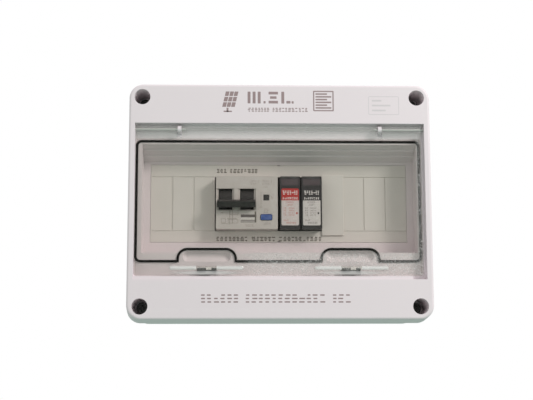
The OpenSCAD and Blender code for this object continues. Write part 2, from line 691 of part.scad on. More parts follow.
module arrester_base() {
    xm = (arrester_x0 + arrester_x1) / 2;
    color([0.2, 0.2, 0.2]) difference() {
        union() {
            along_x(arrester_x0 + 0.2, arrester_x1 - 0.2) case_section(0);
            // Thin wall between the two bays
            block([xm - 0.2, shoulder_y - 4, rail_z - nose_half_h], [xm + 0.2, plug_back_y, rail_z + nose_half_h]);
        }
        for (x = plug_x, side = [sign(x - xm)]) translate([x, 0, rail_z]) {
            block([side < 0 ? -10 : -8.8, shoulder_y - 5, -nose_half_h - 0.1],
                  [side < 0 ? 8.8 : 10, plug_back_y + 0.3, nose_half_h + 0.1]);
            for (s = [-1, 1]) block([-4, plug_back_y - 1, s * 12 - 3.5], [4, -40, s * 12 + 3.5]);
        }
        for (t = arrester_terminals) translate([t[0], 0, rail_z + t[1] * terminal_z])
            block([-6, shoulder_y + 2.5, -6.5], [6, -40, 6.5]);
        rail_cut(arrester_x0, arrester_x1);
        terminal_cuts(plug_x, [1]);
        terminal_cuts([earth_x], [-1]);
    }
}
// Plug-in cartridge: hollow, with a shallow window recess near the top of its face
module cartridge(x) {
    lo = rail_z - plug_half_h;
    hi = rail_z + plug_half_h;
    h = plug_w / 2;
    color([0.24, 0.23, 0.24]) difference() {
        along_y(nose_y, plug_back_y) translate([x, 0]) round_rect([-h, lo], [h, hi], 0.8);
        along_y(nose_y + 2, plug_back_y - 1.5) translate([x, 0])
            round_rect([-h + 1.2, lo + 1.5], [h - 1.2, hi - 1.5], 0.5);
        block([x - 7.2, nose_y - 1, 15.6], [x + 7.2, nose_y + 1, 21.2]);
        block([x - 7.3, nose_y - 1, -18.3], [x + 7.3, nose_y + 0.3, 12.8]);
        for (s = [-1, 1]) block([x - 2.5, plug_back_y - 2, rail_z + s * 12 - 0.5],
                                [x + 2.5, plug_back_y + 1, rail_z + s * 12 + 0.5]);
    }
}
module line_cartridge() { cartridge(plug_x[0]); }
module neutral_cartridge() { cartridge(plug_x[1]); }
module plug_label(x, colours) {
    color(colours) along_y(nose_y, nose_y + 0.3) translate([x, 0])
        round_rect([-7.3, -18.3], [7.3, 12.8], 1.2);
}
module line_label() { plug_label(plug_x[0], [0.76, 0.18, 0.18]); }
module neutral_label() { plug_label(plug_x[1], [0.82, 0.8, 0.8]); }
module status_window(x) {
    color([0.3, 0.25, 0.28]) block([x - 7.2, nose_y + 0.4, 15.6], [x + 7.2, nose_y + 1, 21.2]);
}
module line_status_window() { status_window(plug_x[0]); }
module neutral_status_window() { status_window(plug_x[1]); }
module line_varistor() {
    color([0.2, 0.35, 0.6]) translate([plug_x[0] - 2, -72, rail_z - 3]) rod_x(0, 4, 13);
}
module neutral_gas_tube() {
    color([0.85, 0.85, 0.83]) translate([plug_x[1], -72, rail_z - 3]) {
        rod_x(-4, 4, 5.5);
        rod_x(-5.2, -4, 4.5);
        rod_x(4, 5.2, 4.5);
    }
}
module blades(x) {
    color([0.8, 0.65, 0.3]) for (s = [-1, 1])
        block([x - 2.5, plug_back_y - 3, rail_z + s * 12 - 0.5], [x + 2.5, plug_back_y + 9, rail_z + s * 12 + 0.5]);
}
module line_blades() { blades(plug_x[0]); }
module neutral_blades() { blades(plug_x[1]); }
module arrester_contacts() {
    color([0.8, 0.65, 0.3]) for (x = plug_x, s = [-1, 1]) translate([x, 0, rail_z + s * 12])
        difference() {
            block([-3.2, plug_back_y + 2, -2], [3.2, -40, 2]);
            block([-4, plug_back_y + 1, -0.85], [4, -43, 0.85]);
        }
}
module arrester_clamps() {
    clamps(plug_x, [1]);
    clamps([earth_x], [-1]);
}
module arrester_screws() {
    clamp_screws(plug_x, [1]);
    clamp_screws([earth_x], [-1]);
}
module arrester_rail_clip() { rail_clip((arrester_x0 + arrester_x1) / 2); }

rear_box();
front_cover();
cover_gasket();
cover_screws();
window_door();
door_catches();
door_seal();
hinge_pins();
module_panel();
filler_plate();
mounting_rail();
rail_screws();
earth_bar_holder();
earth_bar();
earth_bar_screws();
line_wire();
neutral_wire();
earth_wire();
breaker_base();
breaker_front();
breaker_rivets();
left_lever();
right_lever();
lever_tie_bar();
lever_pin();
marker_window();
test_button();
test_spring();
fault_indicator();
breaker_clamps();
breaker_screws();
breaker_rail_clip();
trip_coils();
arc_chutes();
contact_arms();
sensing_ring();
trip_board();
arrester_base();
line_cartridge();
neutral_cartridge();
line_label();
neutral_label();
line_status_window();
neutral_status_window();
line_varistor();
neutral_gas_tube();
line_blades();
neutral_blades();
arrester_contacts();
arrester_clamps();
arrester_screws();
arrester_rail_clip();
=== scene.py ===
import json
import math

import bmesh
import bpy
import numpy as np
from mathutils import Matrix, Vector


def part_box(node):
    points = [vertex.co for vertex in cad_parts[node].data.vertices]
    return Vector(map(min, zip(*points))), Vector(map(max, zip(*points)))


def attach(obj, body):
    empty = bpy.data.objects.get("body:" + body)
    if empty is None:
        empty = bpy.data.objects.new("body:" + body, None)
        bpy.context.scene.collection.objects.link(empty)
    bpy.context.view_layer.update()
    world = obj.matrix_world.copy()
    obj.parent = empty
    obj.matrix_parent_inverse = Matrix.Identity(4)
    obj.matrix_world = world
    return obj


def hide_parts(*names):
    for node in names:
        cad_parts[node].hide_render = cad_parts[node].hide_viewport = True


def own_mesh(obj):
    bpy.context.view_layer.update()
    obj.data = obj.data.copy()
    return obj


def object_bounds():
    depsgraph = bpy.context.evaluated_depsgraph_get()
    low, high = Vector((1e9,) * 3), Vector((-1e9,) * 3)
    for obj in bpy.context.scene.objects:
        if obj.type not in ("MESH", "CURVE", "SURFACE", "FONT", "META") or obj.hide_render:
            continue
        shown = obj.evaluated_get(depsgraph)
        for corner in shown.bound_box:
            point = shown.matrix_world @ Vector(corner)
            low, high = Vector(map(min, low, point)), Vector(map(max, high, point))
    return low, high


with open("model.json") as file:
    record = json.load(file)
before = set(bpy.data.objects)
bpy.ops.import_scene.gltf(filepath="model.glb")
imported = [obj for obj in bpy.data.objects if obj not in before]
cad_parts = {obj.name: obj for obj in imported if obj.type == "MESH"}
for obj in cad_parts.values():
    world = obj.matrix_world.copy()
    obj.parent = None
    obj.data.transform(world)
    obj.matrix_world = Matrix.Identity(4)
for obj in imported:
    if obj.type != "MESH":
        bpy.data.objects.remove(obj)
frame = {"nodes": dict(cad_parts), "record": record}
cadLow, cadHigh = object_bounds()
nodes = frame["nodes"]
record = frame["record"]
bodyOf = {node: body for body, members in record["behaviour"]["bodies"].items() for node in members}
scene = bpy.context.scene
mm = 0.001
print("distribution box: frame loaded,", len(nodes), "parts")

# Camera and light

cameraSetup = {
    "place": (-0.0383, -0.9987, -0.1365),
    "look": (0.030, 0.988, 0.152),
    "up": (-0.0023, -0.152, 0.988),
    "lens": 74.3,  # mm, on a 36 mm sensor
}
studio = {
    "background": (1.0, 1.0, 1.0),
    "skyColour": (0.72, 0.70, 0.71),
    "groundColour": (0.37, 0.48, 0.43),  # light thrown up from below, a little green
    "keyPlace": (1.05, -1.0, 0.80),
    "keySize": 0.45,
    "keyPower": 14.5,
    "keyColour": (1.0, 0.975, 0.97),
    "fillPlace": (-0.9, -0.9, 0.5),
    "fillSize": 1.0,
    "fillPower": 0.8,
    "fillColour": (0.93, 0.97, 1.0),
    "floorGap": 0.0004,
    "floorRadius": 1.6,
    "floorSides": 96,
    "floorColour": (0.80, 0.80, 0.79, 1),
}


def fill(tree, node, values):
    # Sockets take plain values, or links from other nodes' outputs
    for key, value in values.items():
        if isinstance(value, bpy.types.NodeSocket):
            tree.links.new(value, node.inputs[key])
        else:
            node.inputs[key].default_value = value
    return node


def put(tree, kind, inputs=None, **settings):
    # A shader node of one kind, with its settings and sockets filled
    node = tree.nodes.new("ShaderNode" + kind)
    for key, value in settings.items():
        setattr(node, key, value)
    return fill(tree, node, inputs or {})


def maths(tree, operation, first, second=0.0, third=0.0, clamp=False):
    node = put(tree, "Math", {0: first, 1: second, 2: third}, operation=operation, use_clamp=clamp)
    return node.outputs[0]


def times(tree, first, second, clamp=False):
    return maths(tree, "MULTIPLY", first, second, clamp=clamp)


def ramp(tree, value, low, high, outLow=0.0, outHigh=1.0):
    # Maps low..high to outLow..outHigh with soft ends, held at both
    node = put(tree, "MapRange", {"Value": value, "From Min": low, "From Max": high,
                                  "To Min": outLow, "To Max": outHigh})
    node.interpolation_type = "SMOOTHSTEP"
    return node.outputs[0]


def noiseAt(tree, where, scale, detail, rough=0.5):
    return put(tree, "TexNoise", {"Vector": where, "Scale": scale, "Detail": detail,
                                  "Roughness": rough}).outputs["Fac"]


def blendColours(tree, share, first, second, mode="MIX"):
    node = put(tree, "Mix", data_type="RGBA", blend_type=mode)
    return fill(tree, node, {0: share, 6: first, 7: second}).outputs[2]


def placeCamera(setup):
    look = Vector(setup["look"]).normalized()
    side = look.cross(Vector(setup["up"])).normalized()
    up = side.cross(look)
    data = bpy.data.cameras.new("boxCamera")
    data.lens = setup["lens"]
    data.sensor_width = 36.0
    data.clip_start = 0.01
    camera = bpy.data.objects.new("boxCamera", data)
    turn = Matrix((side, up, -look)).transposed().to_4x4()
    camera.matrix_world = Matrix.Translation(setup["place"]) @ turn
    scene.collection.objects.link(camera)
    scene.camera = camera


def addLamp(name, place, size, power, colour):
    data = bpy.data.lights.new(name, "AREA")
    data.shape = "DISK"
    data.size = size
    data.energy = power
    data.color = colour
    lamp = bpy.data.objects.new(name, data)
    lamp.location = place
    aim = (cadLow + cadHigh) / 2 - Vector(place)
    lamp.rotation_euler = aim.to_track_quat("-Z", "Y").to_euler()
    scene.collection.objects.link(lamp)


def buildWorld(setup):
    # White for the camera, a pale sky above and a dimmer greenish ground below for the light
    world = bpy.data.worlds.new("studio")
    world.use_nodes = True
    tree = world.node_tree
    tree.nodes.clear()
    way = put(tree, "SeparateXYZ", {0: put(tree, "TexCoord").outputs["Generated"]}).outputs["Z"]
    share = ramp(tree, way, -0.35, 0.25)
    colour = blendColours(tree, share, (*setup["groundColour"], 1), (*setup["skyColour"], 1))
    light = put(tree, "Background", {"Color": colour})
    seen = put(tree, "Background", {"Color": (*setup["background"], 1)})
    fromCamera = put(tree, "LightPath").outputs["Is Camera Ray"]
    both = put(tree, "MixShader", {0: fromCamera, 1: light.outputs[0], 2: seen.outputs[0]})
    put(tree, "OutputWorld", {"Surface": both.outputs[0]})
    scene.world = world


placeCamera(cameraSetup)
addLamp("keyLamp", studio["keyPlace"], studio["keySize"], studio["keyPower"], studio["keyColour"])
addLamp("fillLamp", studio["fillPlace"], studio["fillSize"], studio["fillPower"], studio["fillColour"])
buildWorld(studio)
scene.view_settings.view_transform = "Standard"
print("distribution box: camera and lamps set")

# Finishes


def newGroup(name, inputs, outputs):
    # An empty shader group; inputs map a name to (socket kind, value), outputs are names of values
    tree = bpy.data.node_groups.new(name, "ShaderNodeTree")
    for label, (kind, value) in inputs.items():
        socket = tree.interface.new_socket(label, in_out="INPUT", socket_type="NodeSocket" + kind)
        if value is not None:
            socket.default_value = value
    for label in outputs:
        tree.interface.new_socket(label, in_out="OUTPUT", socket_type="NodeSocketFloat")
    start = tree.nodes.new("NodeGroupInput")
    end = tree.nodes.new("NodeGroupOutput")
    return tree, start.outputs, end.inputs


def buildMouldGrain():
    # Spark texture of a moulding tool: fine noise over small rounded cells
    tree, given, result = newGroup(
        "mouldGrain", {"Vector": ("Vector", None), "Size": ("Float", 0.0004)}, ["Height", "Fleck"])
    perMetre = maths(tree, "DIVIDE", 1.0, given["Size"])
    noise = noiseAt(tree, given["Vector"], perMetre, 2.0, 0.55)
    cells = put(tree, "TexVoronoi", {"Vector": given["Vector"], "Scale": perMetre},
                feature="SMOOTH_F1").outputs["Distance"]
    height = maths(tree, "MULTIPLY_ADD", noise, 0.7, times(tree, cells, 0.3))
    tree.links.new(height, result["Height"])
    tree.links.new(ramp(tree, noise, 0.35, 0.68), result["Fleck"])
    return tree


def buildHandling():
    # Slow changes of tone and gloss that handling and moulding leave, at palm and fingertip size
    tree, given, result = newGroup(
        "handling", {"Vector": ("Vector", None), "Amount": ("Float", 1.0)}, ["Tone", "Gloss", "Smear"])
    broad = noiseAt(tree, given["Vector"], 16.0, 3.0)
    small = noiseAt(tree, given["Vector"], 120.0, 4.0, 0.6)
    mixed = maths(tree, "MULTIPLY_ADD", broad, 0.65, times(tree, small, 0.35))
    centred = times(tree, maths(tree, "SUBTRACT", mixed, 0.5), given["Amount"])
    tree.links.new(maths(tree, "ADD", centred, 0.5), result["Tone"])
    tree.links.new(times(tree, centred, 0.6), result["Gloss"])
    tree.links.new(ramp(tree, small, 0.55, 0.75), result["Smear"])
    return tree


def buildDust():
    # Dust lies on faces that look upwards, in soft patches
    tree, given, result = newGroup(
        "settledDust", {"Vector": ("Vector", None), "Amount": ("Float", 0.2)}, ["Mask"])
    upward = put(tree, "SeparateXYZ", {0: put(tree, "NewGeometry").outputs["Normal"]}).outputs["Z"]
    patches = noiseAt(tree, given["Vector"], 90.0, 5.0)
    level = times(tree, ramp(tree, upward, 0.35, 0.95), ramp(tree, patches, 0.35, 0.7))
    tree.links.new(times(tree, level, given["Amount"], clamp=True), result["Mask"])
    return tree


def buildRubbedEdge():
    # Convex edges rubbed paler, broken up by noise
    tree, given, result = newGroup(
        "rubbedEdge", {"Vector": ("Vector", None), "Amount": ("Float", 0.5)}, ["Mask"])
    bend = put(tree, "NewGeometry").outputs["Pointiness"]
    patches = noiseAt(tree, given["Vector"], 220.0, 3.0)
    level = times(tree, ramp(tree, bend, 0.52, 0.62), ramp(tree, patches, 0.3, 0.65))
    tree.links.new(times(tree, level, given["Amount"], clamp=True), result["Mask"])
    return tree


def buildHairlines():
    # Fine scratches: noise stretched along one way, of which only the crests are kept
    tree, given, result = newGroup(
        "hairlines", {"Vector": ("Vector", None), "Along": ("Vector", (20.0, 20.0, 900.0)),
                      "Amount": ("Float", 0.5)}, ["Mask", "Streak"])
    stretched = put(tree, "VectorMath", {0: given["Vector"], 1: given["Along"]}, operation="MULTIPLY")
    streak = noiseAt(tree, stretched.outputs[0], 1.0, 2.0)
    crests = ramp(tree, streak, 0.66, 0.72)
    tree.links.new(times(tree, crests, given["Amount"], clamp=True), result["Mask"])
    tree.links.new(streak, result["Streak"])
    return tree


effects = {
    "grain": buildMouldGrain(),
    "handling": buildHandling(),
    "dust": buildDust(),
    "rubbed": buildRubbedEdge(),
    "hairlines": buildHairlines(),
}


def effect(tree, name, **values):
    node = tree.nodes.new("ShaderNodeGroup")
    node.node_tree = effects[name]
    return fill(tree, node, values).outputs


def newFinish(name):
    material = bpy.data.materials.new(name)
    material.use_nodes = True
    tree = material.node_tree
    tree.nodes.clear()
    place = put(tree, "TexCoord").outputs["Object"]
    return material, tree, place


def close(tree, shader):
    put(tree, "OutputMaterial", {"Surface": shader.outputs[0]})


def rgba(colour):
    return (*colour, 1.0)


def shade(colour, share):
    return tuple(min(1.0, max(0.0, part * share)) for part in colour) + (1.0,)


def mouldedPlastic(name, look, colourSocket=None):
    # Spark-textured moulding with uneven gloss, a little dust on top and rubbed edges
    material, tree, place = newFinish(name)
    colour = look["colour"]
    grain = effect(tree, "grain", Vector=place, Size=look.get("grainSize", 0.0006))
    hands = effect(tree, "handling", Vector=place, Amount=look.get("mottle", 1.0))
    dust = effect(tree, "dust", Vector=place, Amount=look.get("dust", 0.25))
    rubbed = effect(tree, "rubbed", Vector=place, Amount=look.get("rub", 0.35))
    spread = look.get("spread", 0.06)
    if colourSocket:
        tone = blendColours(tree, hands["Tone"], shade((1, 1, 1), 1 - spread), rgba((1, 1, 1)))
        base = blendColours(tree, 1.0, colourSocket(tree, place), tone, "MULTIPLY")
    else:
        base = blendColours(tree, hands["Tone"], shade(colour, 1 - spread), shade(colour, 1 + spread))
    base = blendColours(tree, times(tree, grain["Fleck"], look.get("fleck", 0.06)), base,
                        shade(colour, look.get("fleckTone", 0.8)))
    base = blendColours(tree, rubbed["Mask"], base, shade([0.5 * part + 0.45 for part in colour], 1.0))
    base = blendColours(tree, dust["Mask"], base, rgba(look.get("dustColour", (0.62, 0.60, 0.57))))
    rough = maths(tree, "ADD", hands["Gloss"], look.get("rough", 0.45))
    rough = maths(tree, "MULTIPLY_ADD", dust["Mask"], 0.3, rough, clamp=True)
    bump = put(tree, "Bump", {"Height": grain["Height"], "Strength": look.get("bump", 0.35),
                              "Distance": look.get("grainDepth", 0.00006)})
    shader = put(tree, "BsdfPrincipled", {
        "Base Color": base, "Roughness": rough, "Normal": bump.outputs[0], "IOR": look.get("ior", 1.5),
        "Specular IOR Level": look.get("specular", 0.5), "Coat Weight": look.get("coat", 0.0),
        "Coat Roughness": 0.12})
    close(tree, shader)
    return material


def platedMetal(name, look):
    # Drawn or rolled metal: streaks along one way, cloudy tarnish and fine scratches
    material, tree, place = newFinish(name)
    colour = look["colour"]
    along = look.get("along", (30.0, 700.0, 700.0))
    lines = effect(tree, "hairlines", Vector=place, Along=along, Amount=0.6)
    hands = effect(tree, "handling", Vector=place, Amount=1.4)
    grain = effect(tree, "grain", Vector=place, Size=look.get("grainSize", 0.0009))
    base = blendColours(tree, hands["Tone"], shade(colour, 0.82), shade(colour, 1.12))
    base = blendColours(tree, times(tree, hands["Smear"], look.get("tarnish", 0.35)), base,
                        rgba(look.get("tarnishColour", (0.34, 0.31, 0.27))))
    base = blendColours(tree, lines["Mask"], base, shade(colour, 1.25))
    rough = maths(tree, "MULTIPLY_ADD", lines["Streak"], 0.22, look.get("rough", 0.22))
    rough = maths(tree, "MULTIPLY_ADD", hands["Smear"], 0.15, rough, clamp=True)
    height = maths(tree, "MULTIPLY_ADD", lines["Streak"], 0.6, times(tree, grain["Height"], 0.4))
    bump = put(tree, "Bump", {"Height": height, "Strength": 0.3, "Distance": 0.00004})
    shader = put(tree, "BsdfPrincipled", {"Base Color": base, "Metallic": look.get("metal", 1.0),
                                          "Roughness": rough, "Normal": bump.outputs[0]})
    close(tree, shader)
    return material


def smokedWindow(name, look):
    # Tinted clear sheet: what is behind shows through, and its face mirrors more at a slant; a pale matt
    # sheet mixed in paints glare and highlights
    material, tree, place = newFinish(name)
    lines = effect(tree, "hairlines", Vector=place, Along=(160.0, 160.0, 900.0), Amount=0.5)
    grain = effect(tree, "grain", Vector=place, Size=look["speckSize"])
    hands = effect(tree, "handling", Vector=place, Amount=1.0)
    split = put(tree, "SeparateXYZ", {0: place}).outputs
    # Painted glare: a pale matt sheet in small bright grains over the lower band and down the right side
    band = ramp(tree, split["Z"], look["bandTop"], look["bandTop"] - look["bandFade"])
    rightwards = ramp(tree, split["X"], look["bandLeft"], look["bandLeft"] + look["leftFade"])
    rightEdge = ramp(tree, split["X"], look["edgeStart"], look["edgeStart"] + look["edgeFade"])
    zone = maths(tree, "MAXIMUM", times(tree, band, rightwards), rightEdge)
    specks = ramp(tree, grain["Height"], 0.50, 0.62)
    paintedGlare = times(tree, zone, maths(tree, "MULTIPLY_ADD", specks, look["speckShare"],
                                               look["evenGlareShare"]))
    above = ramp(tree, split["Z"], look["topStart"], look["topStart"] + look["topFade"])
    # The hinge zone above the cord is whitened by the same pale sheet: painted highlight
    paintedGlare = maths(tree, "MAXIMUM", paintedGlare, times(tree, above, look["topPaintedGlare"]))
    # Painted highlights: pale lens-shaped gleams on the lip below the two pulls: 1 - (x/a)^2 - (z/b)^2,
    # kept above zero
    upOff = maths(tree, "DIVIDE", maths(tree, "SUBTRACT", split["Z"], look["gleamZ"]), look["gleamHalf"][1])
    upSquare = times(tree, upOff, upOff)
    for middle in look["gleamX"]:
        sideOff = maths(tree, "DIVIDE", maths(tree, "SUBTRACT", split["X"], middle), look["gleamHalf"][0])
        reach = maths(tree, "MULTIPLY_ADD", sideOff, sideOff, upSquare)
        gleam = times(tree, ramp(tree, reach, 1.0, 0.0), look["gleamShare"])
        paintedGlare = maths(tree, "MAXIMUM", paintedGlare, gleam)
    rough = maths(tree, "MULTIPLY_ADD", hands["Smear"], 0.05, look["rough"])
    rough = maths(tree, "MULTIPLY_ADD", lines["Mask"], 0.1, rough, clamp=True)
    bump = put(tree, "Bump", {"Height": hands["Tone"], "Strength": 0.1, "Distance": 0.0003})
    tint = blendColours(tree, above, rgba(look["tint"]), rgba(look["topTint"]))
    through = put(tree, "BsdfTransparent", {"Color": tint})
    mirror = put(tree, "BsdfPrincipled", {"Base Color": (0.9, 0.9, 0.88, 1), "Metallic": 1.0,
                                          "Roughness": rough, "Normal": bump.outputs[0]})
    # The pale matt sheet that paints the glare, the gleams and the whitened hinge zone
    frost = put(tree, "BsdfPrincipled", {"Base Color": (0.75, 0.74, 0.73, 1), "Roughness": 0.6})
    slant = put(tree, "Fresnel", {"IOR": look["ior"], "Normal": bump.outputs[0]}).outputs[0]
    # Only the side where a ray goes in mirrors: rays aren't bent, and the far side would turn them back
    inward = maths(tree, "SUBTRACT", 1.0, put(tree, "NewGeometry").outputs["Backfacing"])
    slant = times(tree, slant, inward)
    sheet = put(tree, "MixShader", {0: slant, 1: through.outputs[0], 2: mirror.outputs[0]})
    sheetWithPaintedGlare = put(tree, "MixShader", {0: paintedGlare, 1: sheet.outputs[0], 2: frost.outputs[0]})
    # Only a ray from the camera meets the sheet, so the devices behind it stay as well lit as the cover
    clear = put(tree, "BsdfTransparent")
    seen = put(tree, "LightPath").outputs["Is Camera Ray"]
    close(tree, put(tree, "MixShader", {0: seen, 1: clear.outputs[0], 2: sheetWithPaintedGlare.outputs[0]}))
    return material


def paintedHighlightCap(name, look):
    # Painted highlight: clear plastic with a pale fine matt skin, part of what is behind showing through
    material, tree, place = newFinish(name)
    grain = effect(tree, "grain", Vector=place, Size=look["grainSize"])
    hands = effect(tree, "handling", Vector=place, Amount=1.0)
    colour = blendColours(tree, hands["Tone"], shade(look["colour"], 0.9), shade(look["colour"], 1.05))
    bump = put(tree, "Bump", {"Height": grain["Height"], "Strength": 0.3, "Distance": 0.00006})
    skin = put(tree, "BsdfPrincipled", {"Base Color": colour, "Roughness": look["rough"],
                                        "Normal": bump.outputs[0], "Coat Weight": 0.6,
                                        "Coat Roughness": 0.08})
    clear = put(tree, "BsdfTransparent", {"Color": rgba(look["tint"])})
    share = maths(tree, "MULTIPLY_ADD", grain["Fleck"], 0.12, look["solid"], clamp=True)
    # The skin is polished clear in front of each catch
    sideways = put(tree, "SeparateXYZ", {0: place}).outputs["X"]
    for middle in windowLook["gleamX"]:
        away = maths(tree, "ABSOLUTE", maths(tree, "SUBTRACT", sideways, middle))
        beside = ramp(tree, away, look["clearHalf"], look["clearHalf"] + 0.001, look["clearShare"], 1.0)
        share = times(tree, share, beside)
    close(tree, put(tree, "MixShader", {0: share, 1: clear.outputs[0], 2: skin.outputs[0]}))
    return material


def byHeight(edges, colours, soft=0.00015):
    # Colour that changes with Z at the given heights, lowest colour first
    def build(tree, place):
        height = put(tree, "SeparateXYZ", {0: place}).outputs["Z"]
        colour = rgba(colours[0])
        for edge, upper in zip(edges, colours[1:]):
            colour = blendColours(tree, ramp(tree, height, edge - soft, edge + soft), colour, rgba(upper))
        return colour
    return build


def stripedCover(wireX, first, second):
    # Two colours split by the side of the wire that they lie on
    def build(tree, place):
        split = put(tree, "SeparateXYZ", {0: place}).outputs
        side = ramp(tree, split["X"], wireX + 0.0003, wireX + 0.0007)
        return blendColours(tree, side, rgba(first), rgba(second))
    return build


plasticLooks = {
    "coverPlastic": {"colour": (0.79, 0.72, 0.74), "rough": 0.46, "grainSize": 0.0007, "bump": 0.25,
                     "spread": 0.015, "fleck": 0.03, "fleckTone": 0.9, "dust": 0.10, "rub": 0.15,
                     "mottle": 0.8},
    # Darker and greener than the cover: partly a cooler grey, partly painted shade and green bounce light
    # of the box's sides and underside
    "basePlastic": {"colour": (0.66, 0.68, 0.66), "rough": 0.5, "spread": 0.02, "fleck": 0.05,
                    "dust": 0.15, "rub": 0.2},
    "blackRubber": {"colour": (0.007, 0.0065, 0.006), "rough": 0.8, "specular": 0.25,
                    "grainSize": 0.0004, "bump": 0.8, "grainDepth": 0.00009, "fleck": 0.3,
                    "fleckTone": 1.8, "dust": 0.06, "rub": 0.05},
    "panelPlastic": {"colour": (0.74, 0.70, 0.665), "rough": 0.42, "spread": 0.02, "fleck": 0.04,
                     "dust": 0.1, "rub": 0.2},
    "earthGreen": {"colour": (0.04, 0.26, 0.09), "rough": 0.4, "dust": 0.2},
    "breakerPlastic": {"colour": (0.60, 0.55, 0.525), "rough": 0.38, "grainSize": 0.0005, "spread": 0.02,
                       "fleck": 0.05, "dust": 0.08, "rub": 0.2},
    "leverPlastic": {"colour": (0.024, 0.022, 0.021), "rough": 0.36, "grainSize": 0.0004, "fleck": 0.2,
                     "fleckTone": 1.8, "rub": 0.12, "dust": 0.1},
    "testBlue": {"colour": (0.045, 0.10, 0.34), "rough": 0.32, "fleck": 0.1, "rub": 0.2, "coat": 0.2},
    "arresterPlastic": {"colour": (0.030, 0.028, 0.029), "rough": 0.4, "grainSize": 0.0005, "fleck": 0.2,
                        "fleckTone": 1.8, "rub": 0.12, "dust": 0.08},
    "catchPlastic": {"colour": (0.055, 0.052, 0.055), "rough": 0.3, "coat": 0.3, "fleck": 0.2,
                     "fleckTone": 1.8, "rub": 0.1, "dust": 0.05},
    # Painted shade: the darker grey in which the embossed nameplate's relief is drawn
    "embossPaintedShade": {"colour": (0.66, 0.62, 0.63), "rough": 0.4, "spread": 0.02, "fleck": 0.05,
                        "dust": 0.0, "rub": 0.0},
    "boardGreen": {"colour": (0.02, 0.15, 0.06), "rough": 0.25, "coat": 0.4, "grainSize": 0.0012},
    "statusWindow": {"colour": (0.075, 0.055, 0.062), "rough": 0.12, "bump": 0.05, "coat": 0.5,
                     "fleck": 0.1, "rub": 0.05},
    "varistorBlue": {"colour": (0.03, 0.10, 0.34), "rough": 0.22, "coat": 0.6, "grainSize": 0.003,
                     "grainDepth": 0.0003},
    "tubeCeramic": {"colour": (0.80, 0.80, 0.77), "rough": 0.28, "coat": 0.3, "fleck": 0.03},
    "brownCover": {"colour": (0.14, 0.06, 0.03), "rough": 0.3, "coat": 0.2, "fleck": 0.1},
    "blueCover": {"colour": (0.04, 0.11, 0.42), "rough": 0.3, "coat": 0.2, "fleck": 0.1},
}
inkLooks = {
    "coverInk": {"colour": (0.30, 0.225, 0.225), "rough": 0.5, "grainSize": 0.0004, "fleck": 0.25,
                 "fleckTone": 1.5},
    "panelInk": {"colour": (0.135, 0.12, 0.10), "rough": 0.5, "fleck": 0.25, "fleckTone": 1.7},
    "faintInk": {"colour": (0.33, 0.29, 0.27), "rough": 0.5, "fleck": 0.25, "fleckTone": 1.3},
    "redInk": {"colour": (0.52, 0.09, 0.07), "rough": 0.45, "fleck": 0.2},
    "blackInk": {"colour": (0.07, 0.065, 0.065), "rough": 0.45, "fleck": 0.2, "fleckTone": 1.6},
    "whiteInk": {"colour": (0.78, 0.72, 0.71), "rough": 0.45, "fleck": 0.08},
}
metalLooks = {
    "zincSteel": {"colour": (0.60, 0.60, 0.57), "rough": 0.25, "along": (500.0, 60.0, 500.0)},
    "blackSteel": {"colour": (0.07, 0.07, 0.068), "rough": 0.3, "along": (500.0, 60.0, 500.0),
                   "tarnishColour": (0.03, 0.028, 0.025)},
    "railSteel": {"colour": (0.62, 0.64, 0.65), "rough": 0.3, "along": (25.0, 800.0, 800.0),
                  "grainSize": 0.004},
    "brassBar": {"colour": (0.78, 0.57, 0.24), "rough": 0.24, "tarnishColour": (0.35, 0.22, 0.09)},
    "copperWire": {"colour": (0.80, 0.38, 0.20), "rough": 0.2, "tarnishColour": (0.25, 0.10, 0.05)},
}
windowLook = {
    "tint": (0.845, 0.835, 0.81),
    "topTint": (0.95, 0.945, 0.93),  # above the cord, where the hinge barrel stands in several layers
    "topStart": 0.0515,
    "topFade": 0.001,
    "topPaintedGlare": 0.16,
    "ior": 1.2,
    "rough": 0.03,
    "speckSize": 0.0013,
    "bandTop": -0.0415,
    "bandFade": 0.004,
    "bandLeft": -0.035,
    "leftFade": 0.02,
    "edgeStart": 0.1115,
    "edgeFade": 0.003,
    # Strength of the painted glare grains, and of the painted gleams under the pulls below
    "speckShare": 0.30,
    "evenGlareShare": 0.05,
    "gleamX": (-0.0601, 0.0579),
    "gleamZ": -0.0592,
    "gleamHalf": (0.034, 0.0021),
    "gleamShare": 0.45,
}
labelHead = 2.7 * mm  # where a label's coloured head begins
labelColours = {  # paper, then head
    "redLabel": ((0.72, 0.64, 0.63), (0.52, 0.035, 0.03)),
    "whiteLabel": ((0.72, 0.67, 0.66), (0.035, 0.032, 0.034)),
}
clean = {"rub": 0.0, "dust": 0.0}
finish = {name: mouldedPlastic(name, look) for name, look in plasticLooks.items()}
finish.update({name: mouldedPlastic(name, {**look, **clean}) for name, look in inkLooks.items()})
finish.update({name: platedMetal(name, look) for name, look in metalLooks.items()})
finish["smokedWindow"] = smokedWindow("smokedWindow", windowLook)
